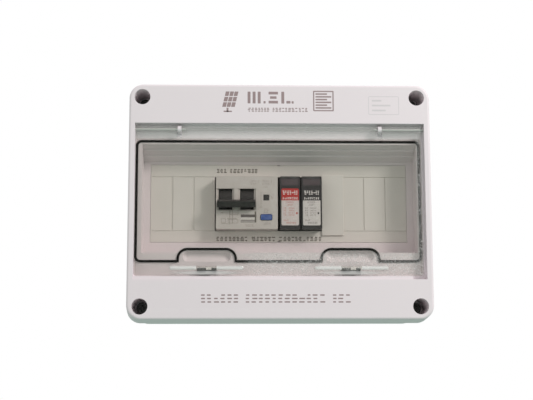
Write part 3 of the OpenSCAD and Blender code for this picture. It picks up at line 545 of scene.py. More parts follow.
# Painted highlight on the pull ridges
finish["pullPaintedHighlight"] = paintedHighlightCap("pullPaintedHighlight", {
    "colour": (0.88, 0.86, 0.85), "tint": (0.96, 0.96, 0.94), "solid": 0.72, "rough": 0.25,
    "grainSize": 0.0008, "clearHalf": 0.0078, "clearShare": 0.12})
for name, (paper, head) in labelColours.items():
    look = {"colour": paper, "rough": 0.32, "fleck": 0.03, **clean}
    finish[name] = mouldedPlastic(name, look, byHeight([labelHead], [paper, head]))
finish["earthCover"] = mouldedPlastic(
    "earthCover", {"colour": (0.10, 0.33, 0.04), "rough": 0.3, "coat": 0.2, "fleck": 0.08},
    stripedCover(18 * mm, (0.07, 0.28, 0.03), (0.70, 0.55, 0.04)))
markerLow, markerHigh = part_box("marker_window")
markerStep = (markerHigh.z - markerLow.z) / 10
finish["markerStrip"] = mouldedPlastic(
    "markerStrip", {"colour": (0.6, 0.57, 0.54), "rough": 0.14, "coat": 0.6, "bump": 0.05, "fleck": 0.02,
                    "rub": 0.0, "dust": 0.0},
    byHeight([markerLow.z + markerStep * k for k in (1.6, 2.5, 4.6, 7.0)],
             [(0.42, 0.39, 0.37), (0.30, 0.27, 0.26), (0.70, 0.66, 0.63), (0.13, 0.115, 0.11),
              (0.62, 0.58, 0.55)]))
print("distribution box: finishes ready,", len(finish))

# Shape tools


def gridFaces(rows, cols, wrapRows=False, wrapCols=False):
    # Corner numbers of every quad on a rows by cols grid of points
    i = np.arange(rows if wrapRows else rows - 1)[:, None]
    j = np.arange(cols if wrapCols else cols - 1)[None, :]
    k, m = (i + 1) % rows, (j + 1) % cols
    return np.stack([i * cols + j, i * cols + m, k * cols + m, k * cols + j], -1).reshape(-1, 4)


def gridPart(points, wrapRows=False, wrapCols=False, caps=False):
    # Points on a grid, rows by cols by 3, with its quads; caps close the first and last row
    rows, cols = points.shape[:2]
    faces = gridFaces(rows, cols, wrapRows, wrapCols).tolist()
    if caps:
        faces.append(list(range(cols))[::-1])
        faces.append(list(range((rows - 1) * cols, rows * cols)))
    return points.reshape(-1, 3), faces


def addPiece(name, parts, material, body, replaced=(), smoothAngle=40):
    # One object from several (points, faces) parts, normals outward
    offsets = np.cumsum([0] + [len(points) for points, faces in parts[:-1]])
    allPoints = np.concatenate([points for points, faces in parts])
    allFaces = [[corner + int(start) for corner in face]
                for start, (points, faces) in zip(offsets, parts) for face in faces]
    mesh = bpy.data.meshes.new(name)
    mesh.from_pydata(allPoints.tolist(), [], allFaces)
    work = bmesh.new()
    work.from_mesh(mesh)
    bmesh.ops.remove_doubles(work, verts=work.verts, dist=1e-7)
    bmesh.ops.recalc_face_normals(work, faces=work.faces)
    work.to_mesh(mesh)
    work.free()
    mesh.shade_smooth()
    mesh.set_sharp_from_angle(angle=math.radians(smoothAngle))
    return finishPiece(bpy.data.objects.new(name, mesh), material, body, replaced)


def finishPiece(piece, material, body, replaced=()):
    scene.collection.objects.link(piece)
    piece.data.materials.clear()
    piece.data.materials.append(finish[material])
    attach(piece, body)
    if replaced:
        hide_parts(*replaced)
    return piece


def camel(node):
    words = node.split("_")
    return words[0] + "".join(word.capitalize() for word in words[1:])


def softEdges(node, material, width, segments=2, angle=32):
    # A copy of a CAD part with its flat faces joined and its sharp edges rounded; a part in splitFaces
    # has openings in a wide flat face, which stays in triangles
    mesh = nodes[node].data.copy()
    mesh.name = camel(node)
    work = bmesh.new()
    work.from_mesh(mesh)
    bmesh.ops.remove_doubles(work, verts=work.verts, dist=2e-6)
    if node not in splitFaces:
        bmesh.ops.dissolve_limit(work, angle_limit=math.radians(0.4), verts=work.verts, edges=work.edges)
    work.to_mesh(mesh)
    work.free()
    mesh.shade_smooth()
    piece = bpy.data.objects.new(camel(node), mesh)
    bevel = piece.modifiers.new("softEdge", "BEVEL")
    bevel.width = width * mm
    bevel.segments = segments
    bevel.limit_method = "ANGLE"
    bevel.angle_limit = math.radians(angle)
    bevel.miter_outer = "MITER_ARC"
    bevel.use_clamp_overlap = True
    even = piece.modifiers.new("evenShade", "WEIGHTED_NORMAL")
    even.keep_sharp = True
    return finishPiece(piece, material, bodyOf[node], [node])


def filletPath(corners, radii, steps=10, closed=True):
    # Round every corner of a path by an arc that meets both straights: for the half angle h between
    # them the arc starts r / tan(h) from the corner, and its centre is r / sin(h) away on the bisector
    corners = np.asarray(corners, float)
    radii = np.broadcast_to(np.asarray(radii, float), (len(corners),))
    middle = corners if closed else corners[1:-1]
    radii = radii if closed else radii[1:-1]
    before = np.roll(corners, 1, 0) if closed else corners[:-2]
    after = np.roll(corners, -1, 0) if closed else corners[2:]
    u = before - middle
    v = after - middle
    u /= np.linalg.norm(u, axis=1, keepdims=True)
    v /= np.linalg.norm(v, axis=1, keepdims=True)
    half = np.arccos(np.clip((u * v).sum(1), -1, 1)) / 2
    cut = (radii / np.tan(half))[:, None]
    bisector = u + v
    bisector /= np.linalg.norm(bisector, axis=1, keepdims=True)
    centre = middle + bisector * (radii / np.sin(half))[:, None]
    start = middle + u * cut - centre
    end = middle + v * cut - centre
    sweep = np.pi - 2 * half
    t = np.linspace(0, 1, steps)[None, :, None]
    a = np.sin((1 - t) * sweep[:, None, None]) / np.sin(sweep)[:, None, None]
    b = np.sin(t * sweep[:, None, None]) / np.sin(sweep)[:, None, None]
    points = (centre[:, None] + a * start[:, None] + b * end[:, None]).reshape(-1, 3)
    return points if closed else np.concatenate([corners[:1], points, corners[-1:]])


def sweepPart(path, profile, across, closed=False):
    # A closed profile carried along a flat path: its first coordinate lies in the path's plane, at
    # right angles to the path, and its second along the plane's normal
    path = np.asarray(path, float)
    across = np.asarray(across, float)
    if closed:
        ahead = np.roll(path, -1, 0) - np.roll(path, 1, 0)
    else:
        ahead = np.gradient(path, axis=0)
    ahead /= np.linalg.norm(ahead, axis=1, keepdims=True)
    side = np.cross(ahead, across)
    rings = (path[:, None] + profile[None, :, :1] * side[:, None]
             + profile[None, :, 1:] * across[None, None])
    return gridPart(rings, wrapRows=closed, wrapCols=True, caps=not closed)


def circleProfile(radius, sides=16):
    a = np.linspace(0, 2 * np.pi, sides, endpoint=False)
    return np.stack([radius * np.cos(a), radius * np.sin(a)], -1)


def lathePart(profile, centre, axis, sides=40):
    # A profile of (distance along the axis, radius) turned about it; both ends are capped flat
    profile = np.asarray(profile, float)
    a = np.linspace(0, 2 * np.pi, sides, endpoint=False)
    along = profile[:, 0][:, None] + 0 * a[None]
    first = profile[:, 1][:, None] * np.cos(a)[None]
    second = profile[:, 1][:, None] * np.sin(a)[None]
    order = {"x": (along, first, second), "y": (second, along, first), "z": (first, second, along)}[axis]
    return gridPart(np.stack(order, -1) + np.asarray(centre), wrapCols=True, caps=True)


def roundBoxes(boxes, radius, corner=5):
    # Outlines of upright rectangles (left, bottom, right, top) with round corners, as one array
    boxes = np.asarray(boxes, float).reshape(-1, 4)
    radius = np.minimum(radius, 0.49 * np.minimum(boxes[:, 2] - boxes[:, 0], boxes[:, 3] - boxes[:, 1]))
    a = (np.arange(4)[:, None] * 90 + np.linspace(0, 90, corner)[None]).ravel() * np.pi / 180
    signX = np.repeat([1, -1, -1, 1], corner)
    signZ = np.repeat([1, 1, -1, -1], corner)
    midX, midZ = (boxes[:, 0] + boxes[:, 2]) / 2, (boxes[:, 1] + boxes[:, 3]) / 2
    halfX = (boxes[:, 2] - boxes[:, 0]) / 2 - radius
    halfZ = (boxes[:, 3] - boxes[:, 1]) / 2 - radius
    x = midX[:, None] + signX * halfX[:, None] + radius[:, None] * np.cos(a)
    z = midZ[:, None] + signZ * halfZ[:, None] + radius[:, None] * np.sin(a)
    return np.stack([x, z], -1)


def inkParts(outlines, faceY, thick):
    # Thin flat marks that stand on the plane y = faceY: a front, a back and a rim each
    parts = []
    for outline in outlines:
        count = len(outline)
        ys = np.array([faceY - thick, faceY + thick])[:, None] + np.zeros(count)
        points = np.stack([np.broadcast_to(outline[:, 0], ys.shape), ys,
                           np.broadcast_to(outline[:, 1], ys.shape)], -1)
        parts.append(gridPart(points * mm, wrapCols=True, caps=True))
    return parts


def barParts(boxes, radius, faceY, thick):
    return inkParts(roundBoxes(boxes, radius), faceY, thick)


def faceOf(node):
    # Where a part's front lies on Y, in mm
    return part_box(node)[0].y / mm


def frameParts(boxes, radius, line, faceY, thick):
    # Outline frames: an outer and an inner round rectangle, front, back and both rims
    parts = []
    boxes = np.asarray(boxes, float).reshape(-1, 4)
    inner = boxes + np.array([line, line, -line, -line])
    for out, hole in zip(roundBoxes(boxes, radius), roundBoxes(inner, max(radius - line, 0.05))):
        loops = [(out, -thick), (hole, -thick), (hole, thick), (out, thick)]
        points = np.stack([np.stack([loop[:, 0], np.full(len(loop), faceY + y), loop[:, 1]], -1)
                           for loop, y in loops])
        parts.append(gridPart(points * mm, wrapRows=True, wrapCols=True))
    return parts


# Enclosure

edges = {  # finish, then the parts that have it with the width of their rounded edges in mm
    "basePlastic": {"rear_box": 0.6},
    "coverPlastic": {"front_cover": 0.35},
    "smokedWindow": {"window_door": 0.35},
    "catchPlastic": {"door_catches": 0.2},
    "panelPlastic": {"module_panel": 0.2, "filler_plate": 0.35},
    "earthGreen": {"earth_bar_holder": 0.3},
    "breakerPlastic": {"breaker_base": 0.3, "breaker_front": 0.25},
    "leverPlastic": {"left_lever": 0.4, "right_lever": 0.4, "lever_tie_bar": 0.35,
                     "fault_indicator": 0.15},
    "markerStrip": {"marker_window": 0.15},
    "testBlue": {"test_button": 0.3},
    "boardGreen": {"trip_board": 0.15},
    "arresterPlastic": {"arrester_base": 0.3, "line_cartridge": 0.25, "neutral_cartridge": 0.25,
                        "breaker_rail_clip": 0.25, "arrester_rail_clip": 0.25},
    "varistorBlue": {"line_varistor": 1.2},
    "tubeCeramic": {"neutral_gas_tube": 0.3},
    "blackSteel": {"cover_screws": 0.25},
    "railSteel": {"mounting_rail": 0.15, "arc_chutes": 0.1},
    "zincSteel": {"rail_screws": 0.2, "earth_bar_screws": 0.15, "breaker_rivets": 0.15,
                  "breaker_screws": 0.2, "arrester_screws": 0.2},
    "brassBar": {"earth_bar": 0.25, "breaker_clamps": 0.25, "arrester_clamps": 0.25,
                 "arrester_contacts": 0.2, "line_blades": 0.2, "neutral_blades": 0.2},
    "copperWire": {"contact_arms": 0.2},
}
splitFaces = ("module_panel", "line_cartridge", "neutral_cartridge")
for material, members in edges.items():
    for node, width in members.items():
        softEdges(node, material, width)
print("distribution box: moulded and cut parts done,", sum(len(members) for members in edges.values()))

# Sealing cord: a ribbed section carried round the window, over both finger scoops

sealLow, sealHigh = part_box("door_seal")
sealCord = {
    "width": 2.0,
    "cornerRadius": 4.0,
    "archX": 59.0,  # either side of the cord's middle
    "archHalf": 23.75,
    "archRadius": 8.0,
    "archTop": -39.05,
    "footRadius": 1.0,
}
sealMiddle = (sealLow.x + sealHigh.x) / 2 / mm
sealHalf = (sealHigh.x - sealLow.x) / 2 / mm - sealCord["width"] / 2
sealTop = sealHigh.z / mm - sealCord["width"] / 2
sealBottom = sealLow.z / mm + sealCord["width"] / 2


def sealOutline(cord):
    # Corners of the cord's centre line, anticlockwise from the top right, with a radius for each
    corners = [(sealHalf, sealTop), (-sealHalf, sealTop), (-sealHalf, sealBottom)]
    radii = [cord["cornerRadius"]] * 3
    for middle in (-cord["archX"], cord["archX"]):
        left, right = middle - cord["archHalf"], middle + cord["archHalf"]
        corners += [(left, sealBottom), (left, cord["archTop"])]
        corners += [(right, cord["archTop"]), (right, sealBottom)]
        radii += [cord["footRadius"], cord["archRadius"], cord["archRadius"], cord["footRadius"]]
    corners.append((sealHalf, sealBottom))
    radii.append(cord["cornerRadius"])
    return np.array([(a + sealMiddle, 0.0, b) for a, b in corners]), np.array(radii)


# Half section of the cord: a rounded bar with a fine groove along its front
sealX = np.array([-1.0, -0.8, -0.42, -0.2, 0.0, 0.2, 0.42, 0.8, 1.0]) * sealCord["width"] / 2
sealY = np.array([0.6, 0.12, 0.0, 0.25, 0.36, 0.25, 0.0, 0.12, 0.6]) + sealLow.y / mm
cordProfile = np.concatenate([np.stack([sealX, sealY], -1),
                              [[sealX[-1], sealHigh.y / mm], [sealX[0], sealHigh.y / mm]]])
outline, radii = sealOutline(sealCord)
cordPath = filletPath(outline * mm, radii * mm, steps=12)
addPiece("sealCord", [sweepPart(cordPath, cordProfile * mm, (0, 1, 0), closed=True)], "blackRubber",
         "root", ["door_seal"], 50)

gasketLow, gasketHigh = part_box("cover_gasket")
gasket = {"width": 2.9, "radius": 8.2}
gx, gz = gasketHigh.x - gasket["width"] * mm / 2, gasketHigh.z - gasket["width"] * mm / 2
gasketPath = filletPath([(gx, 0, gz), (-gx, 0, gz), (-gx, 0, -gz), (gx, 0, -gz)],
                        gasket["radius"] * mm, steps=16)
gasketProfile = roundBoxes([[-gasket["width"] / 2, gasketLow.y / mm, gasket["width"] / 2,
                             gasketHigh.y / mm]], 0.8, 5)[0]
addPiece("coverGasket", [sweepPart(gasketPath, gasketProfile * mm, (0, 1, 0), closed=True)],
         "blackRubber", "root", ["cover_gasket"], 50)

# Pins: turned rods with chamfered ends

pins = {"inner": 78.0, "chamfer": 0.35, "leverChamfer": 0.3}


def rodPart(node, start, end, chamfer):
    # A rod along X between start and end, as thick as the node's box
    low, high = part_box(node)
    radius = (high.z - low.z) / 2
    middle = (0, (low.y + high.y) / 2, (low.z + high.z) / 2)
    line = [(start, radius - chamfer), (start + chamfer, radius), (end - chamfer, radius),
            (end, radius - chamfer)]
    return lathePart(line, middle, "x", 24)


pinLow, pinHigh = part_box("hinge_pins")
pinInner, pinChamfer = pins["inner"] * mm, pins["chamfer"] * mm
addPiece("hingePins", [rodPart("hinge_pins", pinInner, pinHigh.x, pinChamfer),
                       rodPart("hinge_pins", pinLow.x, -pinInner, pinChamfer)],
         "zincSteel", "root", ["hinge_pins"])
leverPinLow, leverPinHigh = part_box("lever_pin")
leverRod = rodPart("lever_pin", leverPinLow.x, leverPinHigh.x, pins["leverChamfer"] * mm)
addPiece("leverPin", [leverRod], "zincSteel", "root", ["lever_pin"])

# Wires: round covers swept along filleted paths

wires = {"diameter": 3.5, "bend": 8.0, "earthTurnY": -42.0}


def wirePath(node, upright):
    low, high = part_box(node)
    r = wires["diameter"] * mm / 2
    y = (low.y + high.y) / 2
    if upright:
        corners = [(low.x + r, y, low.z), (low.x + r, y, high.z - r), (high.x - r, y, high.z - r),
                   (high.x - r, y, low.z)]
        return filletPath(corners, wires["bend"] * mm, 12, closed=False), (0, 1, 0)
    x = (low.x + high.x) / 2
    step = (high.y - low.y - 2 * r) / 2
    turn = wires["earthTurnY"] * mm
    corners = [(x, low.y + r, high.z), (x, low.y + r, turn - step), (x, high.y - r, turn - step),
               (x, high.y - r, low.z)]
    return filletPath(corners, step * 0.999, 12, closed=False), (1, 0, 0)


for node, material, slotName, upright in (
        ("line_wire", "brownCover", "brown_insulation", True),
        ("neutral_wire", "blueCover", "blue_insulation", True),
        ("earth_wire", "earthCover", "green_yellow_insulation", False)):
    path, across = wirePath(node, upright)
    round16 = circleProfile(wires["diameter"] * mm / 2)
    addPiece(camel(node), [sweepPart(path, round16, across)], material, "root", [node])
print("distribution box: cord, gasket, pins and wires done")

# Coiled parts: a helix swept by a round section

springLow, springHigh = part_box("test_spring")
testSpring = {"turns": 5, "wire": 0.25, "travel": 1.5}


def helixPart(centre, radius, wire, start, end, turns, axis, perTurn=28, sides=8):
    # Angle a runs along the wire and angle b round it; the ring at a leans with the wire's slope
    a = np.linspace(0, 2 * np.pi * turns, int(perTurn * turns))[:, None]
    b = np.linspace(0, 2 * np.pi, sides, endpoint=False)[None]
    climb = (end - start) / (2 * np.pi * turns)
    length = math.hypot(radius, climb)
    out = radius + wire * np.cos(b)
    lean = wire * np.sin(b)
    first = out * np.cos(a) + lean * climb / length * np.sin(a)
    second = out * np.sin(a) - lean * climb / length * np.cos(a)
    along = start + climb * a + lean * radius / length
    order = {"y": (second, along, first), "z": (first, second, along)}[axis]
    return gridPart(np.stack(order, -1) + np.asarray(centre), wrapCols=True, caps=True)


springX, springZ = (springLow.x + springHigh.x) / 2, (springLow.z + springHigh.z) / 2
springWire = testSpring["wire"] * mm
springRadius = (springHigh.x - springLow.x) / 2 - springWire
spring = addPiece("testSpring", [helixPart((springX, 0, springZ), springRadius, springWire,
                                           springLow.y + springWire, springHigh.y - springWire,
                                           testSpring["turns"], "y")],
                  "zincSteel", "root", ["test_spring"])
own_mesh(spring)

coilLow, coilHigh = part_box("trip_coils")
tripCoils = {"outer": 5.0, "wire": 0.55, "turns": 10, "bobbin": 3.2, "bobbinRim": 3.9}
coilY = (coilLow.y + coilHigh.y) / 2
coilParts = []
for coilX in (coilLow.x + tripCoils["outer"] * mm, coilHigh.x - tripCoils["outer"] * mm):
    wire = tripCoils["wire"] * mm
    coilParts.append(helixPart((coilX, coilY, 0), tripCoils["outer"] * mm - wire, wire, coilLow.z + wire,
                               coilHigh.z - wire, tripCoils["turns"], "z"))
    inner, rim = tripCoils["bobbin"] * mm, tripCoils["bobbinRim"] * mm
    bobbin = [(coilLow.z, inner), (coilLow.z, rim), (coilHigh.z, rim), (coilHigh.z, inner)]
    coilParts.append(lathePart(bobbin, (coilX, coilY, 0), "z", 28))
addPiece("tripCoils", coilParts, "copperWire", "root", ["trip_coils"], 50)

ringLow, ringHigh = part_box("sensing_ring")
sensingRing = {"turns": 46, "wire": 0.42, "hole": 3.4}
ringMiddle = (ringLow + ringHigh) / 2
ringWire = sensingRing["wire"] * mm
sectionX = ((ringHigh.x - ringLow.x) / 2 - sensingRing["hole"] * mm) / 2
ringRadius = sensingRing["hole"] * mm + sectionX
sectionZ = (ringHigh.z - ringLow.z) / 2


def windingPart(middle, radius, halfX, halfZ, wire, turns, perTurn=16, sides=6):
    # The wire's middle goes round the ring by p and round the core's section by p times turns; its
    # own section lies across the way that it runs
    p = np.linspace(0, 2 * np.pi, turns * perTurn, endpoint=False)
    q = p * turns
    rho = radius + (halfX - wire) * np.cos(q)
    line = np.stack([rho * np.cos(p), rho * np.sin(p), (halfZ - wire) * np.sin(q)], -1)
    ahead = np.roll(line, -1, 0) - np.roll(line, 1, 0)
    ahead /= np.linalg.norm(ahead, axis=1, keepdims=True)
    out = line - np.stack([radius * np.cos(p), radius * np.sin(p), 0 * p], -1)
    out -= (out * ahead).sum(1, keepdims=True) * ahead
    out /= np.linalg.norm(out, axis=1, keepdims=True)
    side = np.cross(ahead, out)
    b = np.linspace(0, 2 * np.pi, sides, endpoint=False)
    rings = line[:, None] + wire * (np.cos(b)[None, :, None] * out[:, None]
                                    + np.sin(b)[None, :, None] * side[:, None])
    return gridPart(rings + np.asarray(middle), wrapRows=True, wrapCols=True)


def ringCore(middle, radius, halfX, halfZ, around=48, section=20):
    # Torus with an upright oval section
    p = np.linspace(0, 2 * np.pi, around, endpoint=False)[:, None]
    q = np.linspace(0, 2 * np.pi, section, endpoint=False)[None]
    rho = radius + halfX * np.cos(q)
    points = np.stack([rho * np.cos(p), rho * np.sin(p), halfZ * np.sin(q) + 0 * p], -1)
    return gridPart(points + np.asarray(middle), wrapRows=True, wrapCols=True)


addPiece("sensingRing", [
    windingPart(ringMiddle, ringRadius, sectionX, sectionZ, ringWire, sensingRing["turns"]),
    ringCore(ringMiddle, ringRadius, sectionX - 2 * ringWire, sectionZ - 2 * ringWire)],
    "copperWire", "root", ["sensing_ring"], 60)
print("distribution box: spring and coils done")

# Prints: words are shown as rows of short dashes, so that nothing can be read


def dashWords(left, right, low, high, wordLengths, seed, weight=0.17, gap=0.75):
    # Each letter place holds level dashes of uneven length at the foot, middle and head of the line
    draw = np.random.default_rng(seed)
    places = np.concatenate([[1] * count + [0] for count in wordLengths])[:-1]
    widths = np.where(places == 1, draw.uniform(0.85, 1.1, len(places)), gap)
    ends = left + (right - left) * np.cumsum(widths) / widths.sum()
    starts = np.concatenate([[left], ends[:-1]])
    tall = high - low
    rows = np.stack([draw.random(len(places)) < share for share in (0.95, 0.9, 0.95)])
    boxes = []
    for level, keep in zip((low, low + tall * (0.5 - weight / 2), high - tall * weight), rows):
        pick = keep & (places == 1)
        pitch = ends[pick] - starts[pick]
        before, behind = draw.uniform(0.06, 0.3, (2, pick.sum())) * pitch
        boxes.append(np.stack([starts[pick] + before, np.full(pick.sum(), level),
                               ends[pick] - behind, np.full(pick.sum(), level + tall * weight)], -1))
    return np.concatenate(boxes)


coverFace = faceOf("front_cover")
boldLine = 0.24  # height of a dash, as a share of its line
coverPrint = {
    "thick": 0.03,
    "title": (-65.1, 57.1, -83.5, -76.8, [6, 12, 3], 3),
    "wordmark": (-26.8, 11.4, 81.2, 91.2),
    "strapline": (-26.8, 23.1, 74.2, 77.5, [7, 11], 5),
    "symbol": (-48.2, 73.8, -34.0, 91.6),
    "block": (27.6, 74.8, 44.7, 92.2),
}


def symbolOutlines(left, low, right, high, rows=3, cols=3, lean=3.2, stand=4.0):
    # A plain solar panel: a leaning grid of cells over a short stand
    cell = np.array([[0, 0], [1, 0], [1, 1], [0, 1]], float)
    u, v = np.meshgrid(np.arange(cols), np.arange(rows))
    corner = np.stack([u.ravel(), v.ravel()], -1)[:, None] + 0.08 + 0.84 * cell[None]
    x = left + (right - left - lean) * corner[..., 0] / cols
    z = low + stand + (high - low - stand) * corner[..., 1] / rows
    x = x + lean * (z - low - stand) / (high - low - stand)
    return list(np.stack([x, z], -1))


titleLine = roundBoxes(dashWords(*coverPrint["title"]), 0.4)
strapLine = roundBoxes(dashWords(*coverPrint["strapline"], weight=boldLine), 0.2)
wordLeft, wordRight, wordLow, wordHigh = coverPrint["wordmark"]
wordBars = roundBoxes([
    [wordLeft, wordLow, wordLeft + 2.4, wordHigh], [wordLeft + 4.2, wordLow, wordLeft + 6.6, wordHigh],
    [wordLeft + 8.4, wordLow, wordLeft + 10.8, wordHigh],
    [wordLeft + 13.2, wordLow, wordLeft + 14.9, wordLow + 2.0],
    [wordLeft + 17.4, wordLow, wordLeft + 25.2, wordLow + 2.3],
    [wordLeft + 18.6, wordLow + 4.0, wordLeft + 24.0, wordLow + 6.1],
    [wordLeft + 17.4, wordHigh - 2.3, wordLeft + 25.2, wordHigh],
    [wordLeft + 28.0, wordLow, wordLeft + 30.4, wordHigh],
    [wordLeft + 32.2, wordLow, wordRight - 2.6, wordLow + 2.2],
    [wordRight - 1.7, wordLow, wordRight, wordLow + 2.0]], 0.3)
blockLeft, blockLow, blockRight, blockHigh = coverPrint["block"]
blockRows = np.linspace(blockLow + 2.2, blockHigh - 3.4, 6)
blockBars = roundBoxes([[blockLeft + 2.0, z, blockRight - 2.0 - 3.5 * (k % 2), z + 1.25]
                        for k, z in enumerate(blockRows)], 0.2)
symbolLeft, symbolLow = coverPrint["symbol"][:2]
standBars = roundBoxes([[symbolLeft + 4.0, symbolLow, symbolLeft + 5.6, symbolLow + 3.6],
                        [symbolLeft + 1.6, symbolLow, symbolLeft + 8.4, symbolLow + 1.1]], 0.2)
coverMarks = inkParts([*titleLine, *strapLine, *wordBars, *blockBars,
                       *symbolOutlines(*coverPrint["symbol"]), *standBars],
                      coverFace, coverPrint["thick"])
coverMarks += frameParts([coverPrint["block"]], 0.6, 1.0, coverFace, coverPrint["thick"])
addPiece("coverPrint", coverMarks, "coverInk", "root")
# The embossed nameplate's frame and bars are flat marks in a grey darker than the cover: painted shade of
# the raised relief
embossed = {
    "box": (73.5, 72.0, 99.1, 87.7),
    "bars": [(76.5, 75.0, 88.0, 76.4), (76.5, 79.2, 92.0, 80.6), (76.5, 83.3, 84.5, 84.7)],
}
embossShadeMarks = frameParts([embossed["box"]], 1.0, 0.5, coverFace, coverPrint["thick"])
embossShadeMarks += barParts(embossed["bars"], 0.3, coverFace, coverPrint["thick"])
addPiece("embossedPlateShade", embossShadeMarks, "embossPaintedShade", "root")

panelFace = faceOf("module_panel")
panelPrint = {
    "heading": (-52.7, -17.6, 27.9, 31.3, [3, 8], 11),
    "legend": (-53.3, -2.8, -30.1, -26.5, [8, 6], 12),
    "legendEnd": (-0.4, 36.0, -30.1, -26.5, [11], 13),
}
panelMarks = []
for line in panelPrint.values():
    panelMarks += barParts(dashWords(*line, weight=boldLine), 0.25, panelFace, coverPrint["thick"])
addPiece("panelPrint", panelMarks, "panelInk", "root")

breakerFace = faceOf("breaker_front")
inkThick = 0.02  # half the thickness of the print on the devices
breakerPrint = {
    "rating": (-25.0, -16.6, 18.0, 19.6, [4, 1]),
    "ratingLow": (-24.2, -19.0, 15.9, 17.3, [3]),
    "type": (-14.4, -5.8, 18.0, 19.6, [4, 1]),
    "typeLow": (-14.4, -8.0, 15.9, 17.3, [4]),
    "typeFoot": (-14.0, -9.6, 13.4, 14.9, [3]),
    "test": (-13.6, -7.2, -18.0, -16.0, [4]),
    "marker": (-28.4, -21.4, -19.4, -17.6, [5]),
    "fault": (-7.4, -5.0, 3.9, 6.3, [2]),
    "sign": (-13.2, -9.0, -7.6, -4.4, [2]),
}
breakerWords = [dashWords(*line, seed=21 + k) for k, line in enumerate(breakerPrint.values())]
ladder = [[-15.6, z, -15.1, z + 1.3] for z in np.arange(-0.4, 9.6, 2.2)]
signRing = [[-16.2, -3.6, -14.4, -1.8]]
diagramLines = [[-49.0, -8.0, -46.9, -7.5], [-41.6, -17.6, -41.2, -5.6], [-39.4, -17.6, -39.0, -5.6],
                [-48.9, -17.2, -43.0, -16.8], [-43.6, -13.0, -35.4, -12.6]]
diagramFrames = [[-41.4, -9.6, -34.4, -5.4], [-48.6, -16.2, -44.8, -12.4], [-42.8, -16.6, -34.4, -13.4]]
breakerMarks = barParts(np.concatenate(breakerWords), 0.12, breakerFace, inkThick)
breakerMarks += barParts(ladder, 0.1, breakerFace, inkThick)
breakerMarks += frameParts(signRing, 0.88, 0.25, breakerFace, inkThick)
breakerMarks += barParts(diagramLines, 0.1, breakerFace, inkThick)
breakerMarks += frameParts(diagramFrames, 0.2, 0.3, breakerFace, inkThick)
addPiece("breakerPrint", breakerMarks, "faintInk", "root")
markerShade = barParts([[-20.6, -15.8, -19.4, -6.6]], 0.1, markerLow.y / mm, inkThick)
addPiece("markerShade", markerShade, "panelInk", "root")


def labelBars(middle):
    # Head bars, then two columns of short lines, then a foot line, about the label's middle
    head = np.concatenate([dashWords(middle - 6.4, middle + 6.4, 7.6, 11.0, [7], seed=31, weight=0.26),
                           dashWords(middle - 6.4, middle + 6.4, 3.6, 5.4, [8], seed=32, weight=0.3)])
    table = [dashWords(middle - 3.4, middle + 2.9, 0.4, 1.8, [7], seed=33),
             dashWords(middle - 2.9, middle + 2.4, -1.7, -0.5, [5], seed=34)]
    for row in range(4):
        z = -4.4 - 1.95 * row
        table.append(dashWords(middle - 5.8, middle - 3.2, z, z + 1.1, [2], seed=35 + row))
        table.append(dashWords(middle - 1.4, middle + 3.6, z, z + 1.1, [4], seed=40 + row))
    table.append(np.array([[middle + 4.9, -8.9, middle + 6.2, -7.2]]))
    table.append(dashWords(middle - 5.8, middle - 1.6, -14.6, -13.4, [4], seed=45))
    table.append(dashWords(middle - 3.4, middle + 5.0, -16.8, -15.5, [6], seed=46))
    return head, np.concatenate(table)


def platePart(node, radius):
    # A flat plate with round corners that fills the node's box
    low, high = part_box(node)
    outlines = roundBoxes([[low.x / mm, low.z / mm, high.x / mm, high.z / mm]], radius, 8)
    return inkParts(outlines, (low.y + high.y) / 2 / mm, (high.y - low.y) / 2 / mm)


for node, plug, paper, tableInk in (
        ("line_label", "line_plug", "redLabel", "redInk"),
        ("neutral_label", "neutral_plug", "whiteLabel", "blackInk")):
    low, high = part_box(node)
    face = low.y / mm
    side = node.split("_")[0]
    headBars, tableBars = labelBars((low.x + high.x) / 2 / mm)
    addPiece(camel(node), platePart(node, 1.2), paper, plug, [node])
    addPiece(side + "LabelHeadPrint", barParts(headBars, 0.15, face, inkThick), "whiteInk", plug)
    addPiece(side + "LabelTablePrint", barParts(tableBars, 0.1, face, inkThick), tableInk, plug)
for node, plug in (("line_status_window", "line_plug"), ("neutral_status_window", "neutral_plug")):
    addPiece(camel(node), platePart(node, 0.3), "statusWindow", plug, [node])
print("distribution box: prints and labels done")

# Painted highlights: caps of clear frosted plastic over the two pull ridges, pale in place of the ridges'
# bright reflection

doorFace = faceOf("window_door")
pulls = {
    "halfLength": 30.5,
    "middleZ": -55.25,
    "halfHeight": 1.55,
    "rise": 0.52,
    "crest": 0.9,  # share of the dome that lies behind the door's face
    "behind": 0.02,
    "back": 0.9,
    "thinnest": 0.01,
}
pullX = [sealMiddle + side * sealCord["archX"] for side in (-1, 1)]


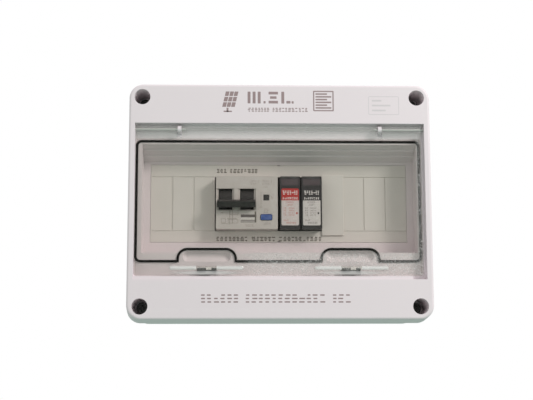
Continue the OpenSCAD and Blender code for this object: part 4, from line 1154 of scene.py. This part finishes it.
def pullCap(middle, look, along=56, across=14):
    # A pill seen from the front: across it the cap rises as (1 - v^2)^0.25, and it rounds off at its
    # ends by the same rule; a flat back closes it
    u = np.linspace(-1, 1, along)[:, None]
    v = np.cos(np.linspace(0, np.pi, across))[None]
    reach = look["halfHeight"] / look["halfLength"]
    end = np.clip((1 - np.abs(u)) / reach, 0, 1)
    width = np.sqrt(np.clip(1 - (1 - end) ** 2, 0, 1))
    x = middle + look["halfLength"] * u + 0 * v
    z = look["middleZ"] + look["halfHeight"] * v * width
    dome = np.clip(1 - v ** 2, 0, 1) ** 0.25 * width
    front = doorFace + look["behind"] - look["rise"] * (dome - look["crest"])
    back = doorFace + look["back"] + 0 * front
    front = np.minimum(front, back - look["thinnest"])
    rings = np.concatenate([np.stack([x, front, z], -1), np.stack([x, back, z], -1)[:, ::-1]], 1)
    return gridPart(rings * mm, wrapCols=True, caps=True)


addPiece("pullHighlightCaps", [pullCap(x, pulls) for x in pullX], "pullPaintedHighlight", "door")
# Painted glints: a small white patch on each dark catch behind the door, in place of a highlight
catchGlint = {"left": -0.4, "low": -56.6, "right": 4.0, "high": -54.3, "proud": 0.05, "thick": 0.04}
glintBoxes = [[x + catchGlint["left"], catchGlint["low"], x + catchGlint["right"], catchGlint["high"]]
             for x in pullX]
catchGlints = barParts(glintBoxes, 0.3, faceOf("door_catches") - catchGlint["proud"], catchGlint["thick"])
addPiece("catchGlints", catchGlints, "whiteInk", "door")

# Floor: seen only by the camera and only from above, so light still reaches the box's underside


def buildFloor(setup):
    material, tree, place = newFinish("paleFloor")
    patches = noiseAt(tree, place, 3.0, 3.0)
    colour = blendColours(tree, patches, shade(setup["floorColour"][:3], 0.98), setup["floorColour"])
    matt = put(tree, "BsdfPrincipled", {"Base Color": colour, "Roughness": 0.8})
    clear = put(tree, "BsdfTransparent")
    fromCamera = put(tree, "LightPath").outputs["Is Camera Ray"]
    front = maths(tree, "SUBTRACT", 1.0, put(tree, "NewGeometry").outputs["Backfacing"])
    share = times(tree, fromCamera, front)
    close(tree, put(tree, "MixShader", {0: share, 1: clear.outputs[0], 2: matt.outputs[0]}))
    a = np.linspace(0, 2 * np.pi, setup["floorSides"], endpoint=False)
    r = np.array([0.02, 0.5, 1.0])[:, None] * setup["floorRadius"]
    points = np.stack([r * np.cos(a), r * np.sin(a), 0 * r + 0 * a + cadLow.z - setup["floorGap"]], -1)
    verts, faces = gridPart(points, wrapCols=True)
    faces.append(list(range(setup["floorSides"]))[::-1])
    mesh = bpy.data.meshes.new("paleFloor")
    mesh.from_pydata(verts.tolist(), [], [face[::-1] for face in faces])
    mesh.update()
    if mesh.polygons[0].normal.z < 0:
        mesh.flip_normals()
    mesh.materials.append(material)
    floor = bpy.data.objects.new("paleFloor", mesh)
    scene.collection.objects.link(floor)


buildFloor(studio)
print("distribution box: done")
